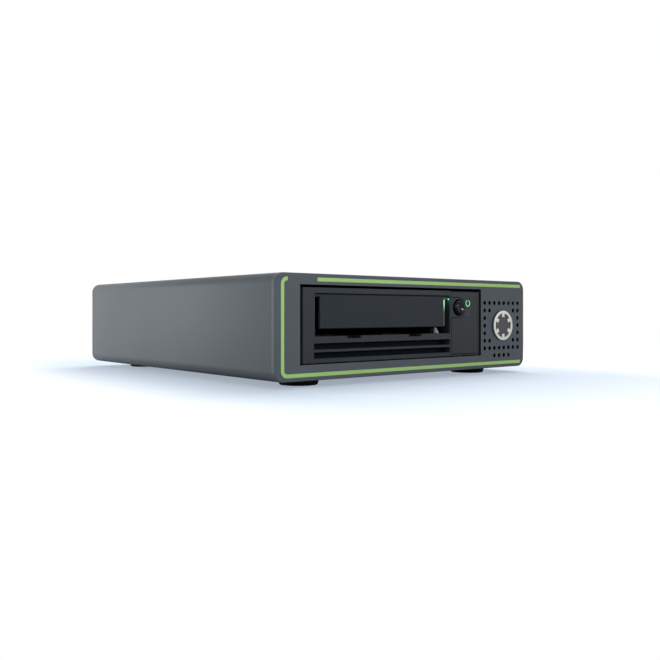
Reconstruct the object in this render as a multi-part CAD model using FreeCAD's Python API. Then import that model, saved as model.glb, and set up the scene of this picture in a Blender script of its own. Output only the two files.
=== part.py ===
import FreeCAD, Part
import math
import os

from FreeCAD import Vector

# Desktop data tape drive. +X is right, +Y is back, +Z is up, in millimetres.
# The origin is under the middle of the whole object, on the surface that it stands on.

X = Vector(1, 0, 0)
Y = Vector(0, 1, 0)
Z = Vector(0, 0, 1)

# ---- enclosure: extruded sleeve between a front panel and a rear panel
WIDTH = 211.6
HEIGHT = 58.2
DEPTH = 240.0
CORNER_R = 6.0
WALL = 2.0
FRONT_PANEL_T = 3.0
REAR_PANEL_T = 2.0
EDGE_CHAMFER = 0.7
CHANNEL_OFFSET = 4.5
CHANNEL_R = 2.6
CHANNEL_HOLE_R = 1.3
CHANNEL_SLOT_W = 1.2
FOOT_HEIGHT = 4.0
FOOT_R = 12.0
FOOT_TAPER = 1.0
FOOT_INSET_X = 33.0
FOOT_INSET_Y = 23.0
FOOT_RECESS_R = 4.5
FOOT_RECESS = 1.8
LUG_INSET_LEFT = 21.5
LUG_INSET_RIGHT = 24.2
LUG_W = 12.0
LUG_H = 4.5
LUG_D = 9.0
LUG_SCREW_Y = 5.0
BUTTON_PROUD = 1.8
REAR_PROUD = 1.8

LEFT = -WIDTH / 2
RIGHT = WIDTH / 2
BASE = FOOT_HEIGHT
TOP = BASE + HEIGHT
FRONT = BUTTON_PROUD - (DEPTH + BUTTON_PROUD + REAR_PROUD) / 2
REAR = FRONT + DEPTH
FLOOR = BASE + WALL
SLEEVE_FRONT = FRONT + FRONT_PANEL_T
SLEEVE_REAR = REAR - REAR_PANEL_T

# ---- screws: one pan-headed size and one countersunk size
SCREW_R = 1.25
SCREW_HEAD_R = 2.6
SCREW_HEAD_T = 1.6
SUNK_HEAD_R = 2.7
SUNK_DEPTH = 1.5
REAR_SCREW_L = 9.0
LUG_SCREW_L = 6.0
FAN_SCREW_L = 8.0

# flat sides of a screw or screw hole, of a post and of a motor or other larger round thing that repeats
SMALL_SIDES = 8
POST_SIDES = 12
WHEEL_SIDES = 36

# how far a cut runs past the face that it starts from
CUT = 1.0

# ---- the drive unit, a half-height drive set in the left of the front panel
DRIVE_W = 145.7
DRIVE_H = 41.45
DRIVE_D = 205.0
DRIVE_INSET_X = 18.5
DRIVE_INSET_Z = 9.2
WINDOW_GAP = 1.75
WINDOW_GAP_TOP = 1.45
WINDOW_GAP_BOTTOM = 0.5
BEZEL_D = 8.0
CASE_WALL = 2.0
COVER_T = 0.8
DECK_Z = 4.8
DECK_T = 2.0
BOSS_R = 4.0
BOSS_INSET = 5.0
BOSS_FRONT = 18.0
CASE_WINDOWS_Y = (96.0, 150.0)
CASE_WINDOW_L = 18.0
CASE_WINDOW_Z = (6.0, 22.0)

DRIVE_LEFT = LEFT + DRIVE_INSET_X
DRIVE_RIGHT = DRIVE_LEFT + DRIVE_W
DRIVE_BASE = BASE + DRIVE_INSET_Z
DRIVE_TOP = DRIVE_BASE + DRIVE_H
DRIVE_REAR = FRONT + DRIVE_D
CASE_FRONT = FRONT + BEZEL_D
DECK = DRIVE_BASE + DECK_Z + DECK_T

# ---- cartridge opening in the bezel, and the cartridge that it takes
CARTRIDGE_W = 102.0
CARTRIDGE_H = 21.5
CARTRIDGE_D = 105.4
SLOT_INSET = 8.2
SLOT_W = 108.8
SLOT_Z = 14.6
SLOT_HEADROOM = 2.3
SLOT_H = CARTRIDGE_H + SLOT_HEADROOM
SLOT_LEFT = DRIVE_LEFT + SLOT_INSET
SLOT_RIGHT = SLOT_LEFT + SLOT_W
SLOT_FLOOR = DRIVE_BASE + SLOT_Z
SLOT_TOP = SLOT_FLOOR + SLOT_H
BAY_X = (SLOT_LEFT + SLOT_RIGHT) / 2

# ---- cartridge door
DOOR_RECESS = 0.93
DOOR_SIDE_GAP = 3.6
DOOR_BOTTOM_GAP = 4.2
DOOR_TOP_GAP = 0.1
DOOR_T = 1.4
DOOR_BAR_R = 1.1
DOOR_BAR_GAP_LEFT = 0.3
DOOR_BAR_GAP_RIGHT = 1.2
DOOR_APRON_H = 0.4
DOOR_EDGE_R = 0.5
DOOR_RIB_W = 1.2
DOOR_RIB_T = 1.0
DOOR_RIB_INSET = 2.0
DOOR_RIB_LOW = 1.0
DOOR_PIN_R = 0.5
PIN_SEAT = 1.5
RUNNING_FIT = 0.05
DOOR_AXIS_Y = FRONT + DOOR_RECESS + DOOR_BAR_R
DOOR_AXIS_Z = SLOT_TOP - DOOR_TOP_GAP - DOOR_BAR_R

# ---- bent leaf on the floor of the cartridge opening
LEAF_INSET = 5.6
LEAF_W = 4.8
LEAF_H = 3.8
LEAF_TIP = 2.2
LEAF_Y = 4.0
LEAF_L = 3.5

# ---- louvres under the cartridge opening
LOUVRE_H = 3.55
LOUVRE_INSET = 7.6
LOUVRE_W = 109.5
LOUVRE_Z = (2.5, 7.4)
LOUVRE_DEPTH = 6.5
LOUVRE_SLOTS = 5
LOUVRE_RIB = 3.0
LOUVRE_SLOT_H = 1.0
BEZEL_CHAMFER = 0.4
NOTCH_D = 3.0
NOTCH_DEPTH = 0.8
NOTCH_W = 10.5
NOTCH_INSETS = (31.4, 80.5)

# ---- control cover with the eject button and two lamps
CONTROL_INSET = 118.7
CONTROL_W = 25.6
CONTROL_Z = 1.4
CONTROL_H = 39.5
CONTROL_T = 1.4
CONTROL_GROOVE = 0.45
CONTROL_POCKET_MARGIN = 0.8
SKIN_T = 2.6
BUTTON_INSET_X = 125.3
BUTTON_Z = 30.85
BUTTON_R = 4.7
BUTTON_GAP = 0.4
BUTTON_LAND_R = 6.05
BUTTON_BORE_D = 6.0
BUTTON_DOME_H = 1.2
BUTTON_STEM_R = 1.5
BUTTON_STEM_L = 1.3
BUTTON_TRAVEL = 1.2
BUTTON_FLANGE_R = 5.6
BUTTON_FLANGE_T = 0.8
BUTTON_FLANGE_GAP = 0.3
SLEEVE_WALL = 0.7
LAMP_BOARD_T = 1.0
LAMP_BOARD_MARGIN = 1.2
LED_W = 3.2
LED_T = 1.2
KEY_W = 5.2
KEY_T = 1.8
KEY_PLUNGER_R = 1.4
KEY_GAP = 0.2
LAMP_INSET_X = 134.35
LAMP_R = 2.1
LAMP_STROKE = 0.8
LAMP_Z = 33.6
FAULT_LAMP_Z = 28.0
LAMP_OPEN_ANGLE = 70.0
LAMP_FIT = 0.05
BAY_LAMP_Y = (0.5, 2.1)
BAY_LAMP_DROP = (2.7, 1.7)
BAY_LAMP_SINK = 1.4
BAY_LAMP_PROUD = 0.3
LAMP_SIDES = 24
CONTROL_LEFT = DRIVE_LEFT + CONTROL_INSET
CONTROL_RIGHT = CONTROL_LEFT + CONTROL_W
CONTROL_BASE = DRIVE_BASE + CONTROL_Z
CONTROL_TOP = CONTROL_BASE + CONTROL_H
BUTTON_X = DRIVE_LEFT + BUTTON_INSET_X
BUTTON_CZ = DRIVE_BASE + BUTTON_Z
LAMP_X = DRIVE_LEFT + LAMP_INSET_X
BOARD_Y = CASE_FRONT

# ---- green accent stripe, laid flush in the front panel
STRIPE_W = 2.1
STRIPE_DEPTH = 0.5
STRIPE_EDGE = 2.2
STRIPE_LEFT = 4.1
STRIPE_R = 4.0
STRIPE_END = 4.0
STRIPE_BREAK = (8.6, 28.6)

# ---- vent grille with the badge in its middle, and the fan behind it
GRILLE_SHIFT = -0.55
GRILLE_Z = 28.2
HOLE_R = 1.25
HOLE_SIDES = 8
HOLE_PITCH = 5.0
GRILLE_CENTRE_ROW = 3
GRILLE_ROWS = ("########", "##....##", "#......#", "#......#", "#......#", "##....##", "########", "..####..")
BADGE_R = 10.0
BADGE_T = 1.2
BADGE_RING_W = 2.0
BADGE_RING_T = 0.4
BADGE_TEETH = 6
BADGE_TOOTH_W = 2.4
BADGE_TOOTH_END = 5.6
BADGE_STEM_R = 1.5
GRILLE_X = (DRIVE_RIGHT + RIGHT) / 2 + GRILLE_SHIFT
GRILLE_CZ = BASE + GRILLE_Z
FAN_SIZE = 40.0
FAN_T = 20.0
FAN_STANDOFF = 3.0
FAN_BORE_R = 18.6
FAN_TIP_GAP = 1.5
FAN_HUB_R = 9.5
FAN_BLADES = 7
FAN_HOLE_SPACING = 32.0
FAN_SHAFT_R = 1.5
BLADE_T = 1.0
BLADE_CHORD = 10.0
BLADE_SINK = 1.5
BLADE_PITCH = 38.0
ROTOR_INSET = 1.5
ROTOR_D = 13.5
ROTOR_SHAFT_L = 4.5
FAN_STRUTS = 3
STRUT_W = 2.4
STRUT_T = 3.0
STRUT_START = 5.0
STRUT_SINK = 0.5
STRUT_TURN = 30.0

# ---- inner chassis of folded sheet
SHEET_T = 1.2
CHASSIS_FRONT = FRONT + 16.0
CHASSIS_REAR = REAR - 8.0
CHASSIS_SIDE_GAP = 6.2
FLANGE_H = 36.0
FLANGE_FRONT = FRONT + 16.0
FLANGE_REAR = FRONT + 200.0
FLANGE_WINDOWS_Y = (66.0, 146.0)
FLANGE_WINDOW_L = 36.0
FLANGE_WINDOW_Z = (8.0, 26.0)
FAN_PLATE_INSET = 1.0
FAN_PLATE_Y = FRONT + FRONT_PANEL_T + FAN_STANDOFF
DRIVE_HOLES_Y = (47.4, 127.0)
DRIVE_HOLE_Z = 21.0
CHASSIS_HOLES_Y = (60.0, 180.0)
CHASSIS_HOLE_INSET = 12.0

# ---- loader: sled with a rack, cartridge tray and gear train
SLED_TRAVEL = 18.0
TRAY_DROP = 3.6
TRAY_WALL = 0.8
TRAY_FIT = 0.2
TRAY_LEAD = 4.0
TRAY_SIDE_H = 14.0
TRAY_STOP_H = 12.0
TRAY_STOP_X = (-30.0, 10.0)
TRAY_STOP_GAP = 2.0
TRAY_PIN_R = 1.0
TRAY_PIN_LIFT = 6.2
TRAY_PIN_FRONT = 6.0
TRAY_PIN_REAR = 5.0
PIN_SLOT_FIT = 0.3
SLIDE_GAP = 0.3
SLED_WALL = 1.2
SLED_GAP = 1.4
SLED_FRONT = 30.0
SLED_LENGTH = 65.0
SLED_LIFT = 2.5
SLED_TOP_GAP = 2.45
BRIDGE_Y = (30.0, 58.0)
BRIDGE_T = 0.8
RAIL_W = 3.0
RAIL_MARGIN = 4.0
RACK_GAP = 2.3
RACK_TEETH = 11
RACK_FIRST = -8
RACK_SINK = 0.1
MODULE = 0.8
BACKLASH = 0.28
PRESSURE_ANGLE = 25.0
ADDENDUM = 0.85
DEDENDUM = 1.2
GEAR_T = 4.0
IDLER_TEETH = 18
REDUCER_SMALL_TEETH = 12
REDUCER_LARGE_TEETH = 28
PINION_TEETH = 10
GEAR_LOW_Z = 9.0
GEAR_HIGH_Z = 19.0
GEAR_PIN_R = 1.5
GEAR_PIN_RISE = 1.0
GEAR_FOOT_R = 2.6
REDUCER_HUB_R = 3.2
IDLER_Y = 80.0
REDUCER_WALL_GAP = 1.32
MOTOR_SHIFT_X = 2.5
MOTOR_R = 9.0
MOTOR_SHAFT_R = 1.0
MOTOR_SHAFT_DROP = 13.0
MOTOR_TOP_GAP = 3.0
MOTOR_BOSS_R = 3.0
MOTOR_BOSS_H = 1.5
MOTOR_BORE_Z = 5.5

# ---- reels, rollers and head
HUB_Y = 62.7
HUB_R = 18.0
HUB_TEETH = 12
HUB_T = 2.4
HUB_LIFT = 0.6
HUB_TOOTH_H = 1.5
HUB_TOOTH_R = (11.8, 15.8)
HUB_TOOTH_W = (1.2, 2.0)
SPINDLE_MOTOR_R = 22.0
HUB_SHAFT_R = 2.5
HUB_CLEAR = 2.0
MOTOR_H = 2.6
REEL_INSET_X = 47.5
REEL_Y = 160.0
REEL_R = 39.0
REEL_HUB_R = 18.0
REEL_FLANGE_T = 1.2
REEL_GAP = 14.0
REEL_WINDOWS = 3
REEL_WINDOW_R = 7.0
REEL_MOTOR_R = 25.0
REEL_SHAFT_RISE = 1.0
REEL_MOTOR_H = 4.0
MOTOR_GAP = 1.0
SHAFT_R = 3.0
ROLLER_R = 6.5
ROLLER_BARREL_R = 4.8
ROLLER_FLANGE_T = 1.0
ROLLER_H = 16.0
ROLLER_LIFT = 6.0
ROLLER_SIDES = 16
POST_R = 1.5
POST_FOOT_R = 3.0
POST_RISE = 1.5
ROLLER_PLACES = ((101.5, 124.0), (115.5, 139.0), (115.5, 172.0), (99.5, 190.0))
HEAD_X = 107.5
HEAD_Y = 153.0
HEAD_ROD_R = 1.25
HEAD_ROD_X = -3.0
HEAD_ROD_Y = (-5.0, 5.0)
HEAD_ROD_L = 22.0
HEAD_FOOT_X = (-8.0, 5.0)
HEAD_FOOT_W = 18.0
HEAD_FOOT_T = 4.0
HEAD_BRIDGE_X = (-6.0, 0.0)
HEAD_BRIDGE_W = 16.0
HEAD_BRIDGE_Z = (24.0, 25.4)
HEAD_Z = (6.0, 21.5)
HEAD_BODY_X = (-6.0, 2.0)
HEAD_BODY_W = 14.0
HEAD_FACE_R = 5.0
HEAD_FACE_X = 1.5
HEAD_BAR_R = 0.9
HEAD_BAR_INSET = 0.5
HEAD_BAR_X = 5.6
HEAD_BAR_Y = (-2.0, 2.0)
ARM_X = 93.5
ARM_Y = 158.0
ARM_LENGTH = 44.0
ARM_REST_ANGLE = -75.0
ARM_LIFT = 27.0
ARM_T = 1.2
ARM_W = 7.0
ARM_POST_R = 2.0
ARM_FOOT_R = 3.2
ARM_FOOT_GAP = 0.8
ARM_POST_RISE = 4.0
ARM_HUB_R = 4.5
ARM_HUB_T = 3.0
ARM_HUB_DROP = 0.5
ARM_SLOT_W = 3.2
ARM_SLOT_ENDS = (9.0, 8.0)
ARM_PIN_R = 1.2
ARM_PIN_L = 13.0
ARM_CLAW_R = 2.4
ARM_CLAW_T = 2.0

# ---- mains inlet and rocker switch, one above the other behind the fan
INLET_W = 27.2
INLET_H = 19.6
INLET_FLANGE_W = 31.0
INLET_FLANGE_H = 24.0
INLET_FLANGE_T = 1.5
INLET_CORNER_R = 3.0
INLET_BODY_D = 17.0
INLET_Z = 17.5
SOCKET_W = 24.0
SOCKET_H = 16.4
SOCKET_CORNER = 5.0
SOCKET_D = 15.5
PIN_W = 2.0
PIN_H = 4.0
PIN_LENGTH = 10.0
PIN_SPACING = 7.0
PIN_SHIFT_Z = 2.0
PIN_TAIL = 4.0
PANEL_FIT = 0.2
SWITCH_Z = 43.4
SWITCH_W = 21.0
SWITCH_H = 15.0
SWITCH_FLANGE_T = 1.4
SWITCH_BODY_D = 13.0
SWITCH_MARGIN = 1.0
ROCKER_W = 14.2
ROCKER_H = 11.0
ROCKER_TILT = 8.0
ROCKER_GAP = 0.5
ROCKER_DEPTH = 3.22
ROCKER_VALLEY = 3.4
ROCKER_CREST = 4.3
ROCKER_SHOULDER = -1.0
ROCKER_BACK = -4.6
ROCKER_BACK_H = 4.0
TRUNNION_R = 1.2
TRUNNION_REACH = 0.9
SWITCH_CHAMFER = 0.6
SWITCH_POCKET_D = 9.0

# ---- data ports
PORT_X = 118.0
PORT_Z = 36.0
PORT_W = 13.2
PORT_H = 8.6
PORT_PITCH = 15.2
PORT_D = 19.0
TONGUE_INSET = 2.0
TONGUE_T = 1.4
TONGUE_BACK = 8.0
CAGE_WALL = 1.0
CAGE_PROUD = 0.8
CARD_W = 46.0
CARD_D = 22.0
CARD_T = 1.6
CARD_GAP = 3.0
HEADER_W = 18.0
HEADER_Y = (1.0, 7.0)
HEADER_T = 2.5
CARD_CHIP_X = (-21.0, -17.0)
CARD_CHIP_Y = (6.0, 14.0)
CARD_CHIP_T = 1.5
CABLE_W = 14.0
CABLE_T = 1.0
CABLE_Z = 0.8
CABLE_BEND = 5.0
CABLE_PLUG_D = 6.0
CABLE_PLUG_H = 5.0
CABLE_PLUG_RISE = 3.0

# ---- drive's circuit board: place and width of its chips, and its connectors
BOARD_GAP = 0.5
BOARD_Z = 2.1
BOARD_FRONT = 4.0
CHIPS = ((30.0, 60.0, 22.0), (78.0, 90.0, 16.0), (110.0, 50.0, 14.0), (52.0, 130.0, 18.0))
CHIP_T = 1.2
PLUG_W = 20.0
PLUG_T = 1.5
POWER_PLUG_X = 24.0

# ---- rear vents
REAR_VENT_X = 18.0
REAR_VENT_Z = 14.0
REAR_VENT_H = 30.0
REAR_VENT_W = 2.6
REAR_VENT_COUNT = 14

# ---- power supply
POWER_CARD_FRONT = 62.0
POWER_CARD_REAR = 205.0
POWER_CARD_LIFT = 6.0
POWER_CARD_LEFT_GAP = 3.2
POWER_CARD_RIGHT_GAP = 4.6
POWER_POST_R = 2.5
POWER_POST_INSET = 4.0
TRANSFORMER_Y = 135.0
TRANSFORMER_SHIFT = 2.0
CORE_W = 26.0
CORE_D = 12.0
CORE_H = 22.0
CORE_LIMB = 2.5
CORE_YOKE = 3.0
WINDING_R = 10.0
CANS = ((11.0, 182.0, 9.0, 26.0), (8.0, 84.0, 5.0, 18.0), (20.0, 84.0, 5.0, 18.0), (8.0, 98.0, 5.0, 18.0))
SINKS_Y = (105.0, 150.0)
SINK_L = 18.0
SINK_H = 26.0
SINK_BACK = 1.6
SINK_FIN_D = 2.0
SINK_FIN_T = 1.2
SINK_FINS = 4
CAN_SIDES = 18
INLET_PLUG_W = 22.0
INLET_PLUG_H = 10.0
MAINS_LEAD_R = 2.2
MAINS_LEAD_END = 7.0
DRIVE_LEAD_R = 1.6
DRIVE_LEAD_Z = 1.4
DRIVE_LEAD_TURN = 7.0
FAN_LEAD_R = 0.8
FAN_LEAD_X = 14.0
FAN_LEAD_TURN = 10.0
LEAD_STUB = 3.5
LEAD_PLUG_X = 3.5
LEAD_PLUG_W = 6.0
LEAD_PLUG_D = 5.0
LEAD_PLUG_H = 6.0
LEAD_SIDES = 6
LEAD_BEND_SHARE = 0.45


# ---------------------------------------------------------------- helpers

def block(x0, x1, y0, y1, z0, z1):
    """Box between two corners."""
    return Part.makeBox(x1 - x0, y1 - y0, z1 - z0, Vector(x0, y0, z0))


def rod(radius, x, y, z, length, axis=Z):
    """Cylinder that starts at x, y, z and runs along axis."""
    return Part.makeCylinder(radius, length, Vector(x, y, z), axis)


def peg(radius, x, y, z, length, axis=Z, sides=SMALL_SIDES):
    """Bar with flat sides, for round things that repeat or are out of sight."""
    across = X if axis.cross(Z).Length < 0.01 else Z
    spin = FreeCAD.Rotation(axis, 360 / sides)
    corner = across * radius
    outline = []
    for _ in range(sides):
        outline.append(Vector(x, y, z) + corner)
        corner = spin.multVec(corner)
    return prism([tuple(point) for point in outline], axis * length)


def ring_wire(radius, x, y, z):
    """Level outline with WHEEL_SIDES flat sides."""
    steps = [2 * math.pi * side / WHEEL_SIDES for side in range(WHEEL_SIDES)]
    corners = [Vector(x + radius * math.cos(a), y + radius * math.sin(a), z) for a in steps]
    return Part.makePolygon(corners + corners[:1])


def rounded_plate(x0, x1, z0, z1, radius, y0, y1):
    """Plate across the Y axis with four round corners."""
    body = block(x0, x1, y0, y1, z0, z1)
    corners = [e for e in body.Edges if abs(e.Vertexes[0].Y - e.Vertexes[-1].Y) > 0.01]
    return body.makeFillet(radius, corners)


def front_edges(shape, y):
    """Edges that lie in the plane at y."""
    found = []
    for edge in shape.Edges:
        box = edge.BoundBox
        if abs(box.YMin - y) < 0.001 and abs(box.YMax - y) < 0.001:
            found.append(edge)
    return found


def prism(points, direction):
    """Closed outline of straight edges, extruded along a vector."""
    face = Part.Face(Part.makePolygon([Vector(*p) for p in points + points[:1]]))
    return face.extrude(direction)


def pan_screw(x, y, z, into, length):
    """Pan-headed screw whose head sits on x, y, z and whose shank goes in along a vector."""
    top = Vector(x, y, z) - into * SCREW_HEAD_T
    head = peg(SCREW_HEAD_R, top.x, top.y, top.z, SCREW_HEAD_T, into)
    return head.fuse(peg(SCREW_R, x, y, z, length, into))


def sunk_screw(x, y, z, length):
    """Low-headed screw driven upwards, its head flush with the underside at z."""
    return peg(SUNK_HEAD_R, x, y, z, SUNK_DEPTH).fuse(peg(SCREW_R, x, y, z, length))


def routed_tube(radius, points):
    """Lead with LEAD_SIDES flat sides, along straight runs joined by tangent arcs."""
    points = [Vector(*p) for p in points]
    edges = []
    start = points[0]
    for before, corner, after in zip(points, points[1:], points[2:]):
        to_last = (before - corner).normalize()
        to_next = (after - corner).normalize()
        turn = math.pi - to_last.getAngle(to_next)
        run = min((before - corner).Length, (after - corner).Length)
        reach = LEAD_BEND_SHARE * run
        bend_r = reach / math.tan(turn / 2)
        enter = corner + to_last * reach
        leave = corner + to_next * reach
        inward = (to_last + to_next).normalize()
        middle = corner + inward * (bend_r / math.cos(turn / 2) - bend_r)
        edges.append(Part.LineSegment(start, enter).toShape())
        edges.append(Part.Arc(enter, middle, leave).toShape())
        start = leave
    edges.append(Part.LineSegment(start, points[-1]).toShape())
    path = Part.Wire(edges)
    direction = points[1] - points[0]
    spin = FreeCAD.Rotation(direction, 360 / LEAD_SIDES)
    spoke = direction.cross(Z) if direction.cross(Z).Length > 0.01 else direction.cross(X)
    corner = spoke.normalize() * radius
    outline = []
    for _ in range(LEAD_SIDES):
        outline.append(points[0] + corner)
        corner = spin.multVec(corner)
    section = Part.makePolygon(outline + outline[:1])
    return path.makePipeShell([section], True, False)


def gear_outline(teeth, phase):
    """Outline of an involute spur gear about the Z axis, with a tooth centred on phase."""
    pitch_r = teeth * MODULE / 2
    base_r = pitch_r * math.cos(math.radians(PRESSURE_ANGLE))
    tip_r = pitch_r + ADDENDUM * MODULE
    root_r = pitch_r - DEDENDUM * MODULE
    pressure = math.radians(PRESSURE_ANGLE)
    thickness = math.pi / (2 * teeth) - BACKLASH / (4 * pitch_r)
    flank = []
    for radius in (max(base_r, root_r), tip_r):
        angle = math.acos(min(1.0, base_r / radius))
        half = thickness + math.tan(pressure) - pressure - math.tan(angle) + angle
        flank.append((radius, half))
    flank[0] = (root_r, flank[0][1])
    points = []
    for tooth in range(teeth):
        middle = phase + 2 * math.pi * tooth / teeth
        for radius, half in flank:
            points.append((radius, middle - half))
        for radius, half in reversed(flank):
            points.append((radius, middle + half))
    return [(r * math.cos(a), r * math.sin(a)) for r, a in points]


def toothed_disc(teeth, phase, x, y, z):
    """Spur gear GEAR_T thick, before it is bored."""
    return prism([(x + px, y + py, z) for px, py in gear_outline(teeth, phase)], Z * GEAR_T)


# ---------------------------------------------------------------- enclosure

def channel_places():
    """Centres of the four screw channels in the corners of the sleeve."""
    return [(x, z) for x in (LEFT + CHANNEL_OFFSET, RIGHT - CHANNEL_OFFSET)
            for z in (BASE + CHANNEL_OFFSET, TOP - CHANNEL_OFFSET)]


def foot_places():
    return [(x, y) for x in (LEFT + FOOT_INSET_X, RIGHT - FOOT_INSET_X)
            for y in (FRONT + FOOT_INSET_Y, REAR - FOOT_INSET_Y)]


def lug_places():
    """Screws of the front panel's lugs, which stand on the sleeve's floor behind the panel."""
    y = SLEEVE_FRONT + LUG_SCREW_Y
    return [(DRIVE_LEFT + LUG_INSET_LEFT, y), (DRIVE_RIGHT - LUG_INSET_RIGHT, y)]


def chassis_screw_places():
    return [(x, FRONT + y) for x in (DRIVE_LEFT + CHASSIS_HOLE_INSET, DRIVE_RIGHT - CHASSIS_HOLE_INSET)
            for y in CHASSIS_HOLES_Y]


def channel_slots(length):
    """Slot that opens each screw channel towards the middle of the sleeve."""
    slots = []
    for x, z in channel_places():
        slot = block(0, 2 * CHANNEL_R, 0, length, -CHANNEL_SLOT_W / 2, CHANNEL_SLOT_W / 2)
        angle = math.degrees(math.atan2(math.copysign(1, BASE + HEIGHT / 2 - z), math.copysign(1, -x)))
        slot.rotate(Vector(0, 0, 0), Y, -angle)
        slot.translate(Vector(x, SLEEVE_FRONT, z))
        slots.append(slot)
    return slots


def enclosure_sleeve():
    """Extruded aluminium sleeve with a screw channel in each corner."""
    outer = rounded_plate(LEFT, RIGHT, BASE, TOP, CORNER_R, SLEEVE_FRONT, SLEEVE_REAR)
    inner = rounded_plate(LEFT + WALL, RIGHT - WALL, FLOOR, TOP - WALL, CORNER_R - WALL,
                          SLEEVE_FRONT, SLEEVE_REAR)
    length = SLEEVE_REAR - SLEEVE_FRONT
    bosses = [peg(CHANNEL_R, x, SLEEVE_FRONT, z, length, Y) for x, z in channel_places()]
    holes = [peg(CHANNEL_HOLE_R, x, SLEEVE_FRONT, z, length, Y) for x, z in channel_places()]
    body = outer.cut(inner).fuse(bosses).cut(holes + channel_slots(length))
    for x, y in foot_places():
        body = body.cut(peg(SCREW_R, x, y, BASE, WALL))
    for x, y in lug_places() + chassis_screw_places():
        body = body.cut(sunk_screw(x, y, BASE, WALL))
    return body.removeSplitter()


def stripe_band(y0, y1):
    """The open band that the accent stripe fills, from y0 to y1."""
    end = RIGHT - STRIPE_END
    beyond = RIGHT + WIDTH
    x0 = LEFT + STRIPE_LEFT
    outer = rounded_plate(x0, beyond, BASE + STRIPE_EDGE, TOP - STRIPE_EDGE, STRIPE_R, y0, y1)
    inner = rounded_plate(x0 + STRIPE_W, beyond + WIDTH, BASE + STRIPE_EDGE + STRIPE_W,
                          TOP - STRIPE_EDGE - STRIPE_W, STRIPE_R - STRIPE_W, y0, y1)
    band = outer.cut(inner).common(block(LEFT, end, y0, y1, BASE, TOP))
    gap = block(LEFT + STRIPE_BREAK[0], LEFT + STRIPE_BREAK[1], y0, y1, TOP - 2 * STRIPE_EDGE - STRIPE_W, TOP)
    return band.cut(gap)


def window(y0, y1):
    return block(DRIVE_LEFT - WINDOW_GAP, DRIVE_RIGHT + WINDOW_GAP, y0, y1,
                 DRIVE_BASE - WINDOW_GAP_BOTTOM, DRIVE_TOP + WINDOW_GAP_TOP)


def grille_places():
    """Centres of the vent holes, row by row from the top."""
    columns = len(GRILLE_ROWS[0])
    places = []
    for row, marks in enumerate(GRILLE_ROWS):
        for column, mark in enumerate(marks):
            if mark == "#":
                x = GRILLE_X + (column - (columns - 1) / 2) * HOLE_PITCH
                places.append((x, GRILLE_CZ + (GRILLE_CENTRE_ROW - row) * HOLE_PITCH))
    return places


def front_panel():
    """Front plate with the drive window, vent holes, stripe groove and lugs for the sleeve."""
    plate = rounded_plate(LEFT, RIGHT, BASE, TOP, CORNER_R, FRONT, SLEEVE_FRONT)
    plate = plate.makeChamfer(EDGE_CHAMFER, front_edges(plate, FRONT))
    plate = plate.cut(window(FRONT - CUT, SLEEVE_FRONT + CUT))
    plate = plate.cut(stripe_band(FRONT - CUT, FRONT + STRIPE_DEPTH))
    through = FRONT_PANEL_T + 2 * CUT
    holes = [peg(HOLE_R, x, FRONT - CUT, z, through, Y, HOLE_SIDES) for x, z in grille_places()]
    holes.append(peg(BADGE_STEM_R, GRILLE_X, FRONT - CUT, GRILLE_CZ, through, Y))
    plate = plate.cut(holes)
    half = LUG_W / 2
    for x, y in lug_places():
        lug = block(x - half, x + half, SLEEVE_FRONT, SLEEVE_FRONT + LUG_D, FLOOR, FLOOR + LUG_H)
        plate = plate.fuse(lug).cut(peg(SCREW_R, x, y, FLOOR, LUG_H))
    return plate.removeSplitter()


def badge_disc():
    """Dark button-shaped badge with a stem through the panel."""
    disc = rod(BADGE_R, GRILLE_X, FRONT - BADGE_T, GRILLE_CZ, BADGE_T, Y)
    stem = peg(BADGE_STEM_R, GRILLE_X, FRONT, GRILLE_CZ, FRONT_PANEL_T, Y)
    return disc.fuse(stem)


def badge_ring():
    """Pale ring with six short inward teeth, like the hub of a tape reel."""
    y = FRONT - BADGE_T - BADGE_RING_T
    ring = rod(BADGE_R, GRILLE_X, y, GRILLE_CZ, BADGE_RING_T, Y)
    ring = ring.cut(rod(BADGE_R - BADGE_RING_W, GRILLE_X, y, GRILLE_CZ, BADGE_RING_T, Y))
    tooth = block(GRILLE_X - BADGE_TOOTH_W / 2, GRILLE_X + BADGE_TOOTH_W / 2, y, y + BADGE_RING_T,
                  GRILLE_CZ + BADGE_TOOTH_END, GRILLE_CZ + BADGE_R - BADGE_RING_W / 2)
    teeth = []
    for index in range(BADGE_TEETH):
        copy = tooth.copy()
        copy.rotate(Vector(GRILLE_X, y, GRILLE_CZ), Y, 360 * index / BADGE_TEETH)
        teeth.append(copy)
    return ring.fuse(teeth).removeSplitter()


def inlet_place():
    return GRILLE_X, BASE + INLET_Z


def switch_place():
    return GRILLE_X, BASE + SWITCH_Z


def port_centres():
    x = LEFT + PORT_X
    return [(x - PORT_PITCH / 2, BASE + PORT_Z), (x + PORT_PITCH / 2, BASE + PORT_Z)]


def cage_outline(y0, y1, margin=0.0):
    """Block round both data ports."""
    (xa, z), (xb, _) = port_centres()
    side = PORT_W / 2 + CAGE_WALL + margin
    half = PORT_H / 2 + CAGE_WALL + margin
    return block(xa - side, xb + side, y0, y1, z - half, z + half)


def rear_vents(y0, y1):
    """Row of upright slots with round ends."""
    slots = []
    for index in range(REAR_VENT_COUNT):
        x = LEFT + REAR_VENT_X + index * HOLE_PITCH
        z = BASE + REAR_VENT_Z
        half = REAR_VENT_W / 2
        slot = block(x - half, x + half, y0, y1, z, z + REAR_VENT_H)
        ends = [peg(half, x, y0, end, y1 - y0, Y) for end in (z, z + REAR_VENT_H)]
        slots.append(slot.fuse(ends).removeSplitter())
    return slots


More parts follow.
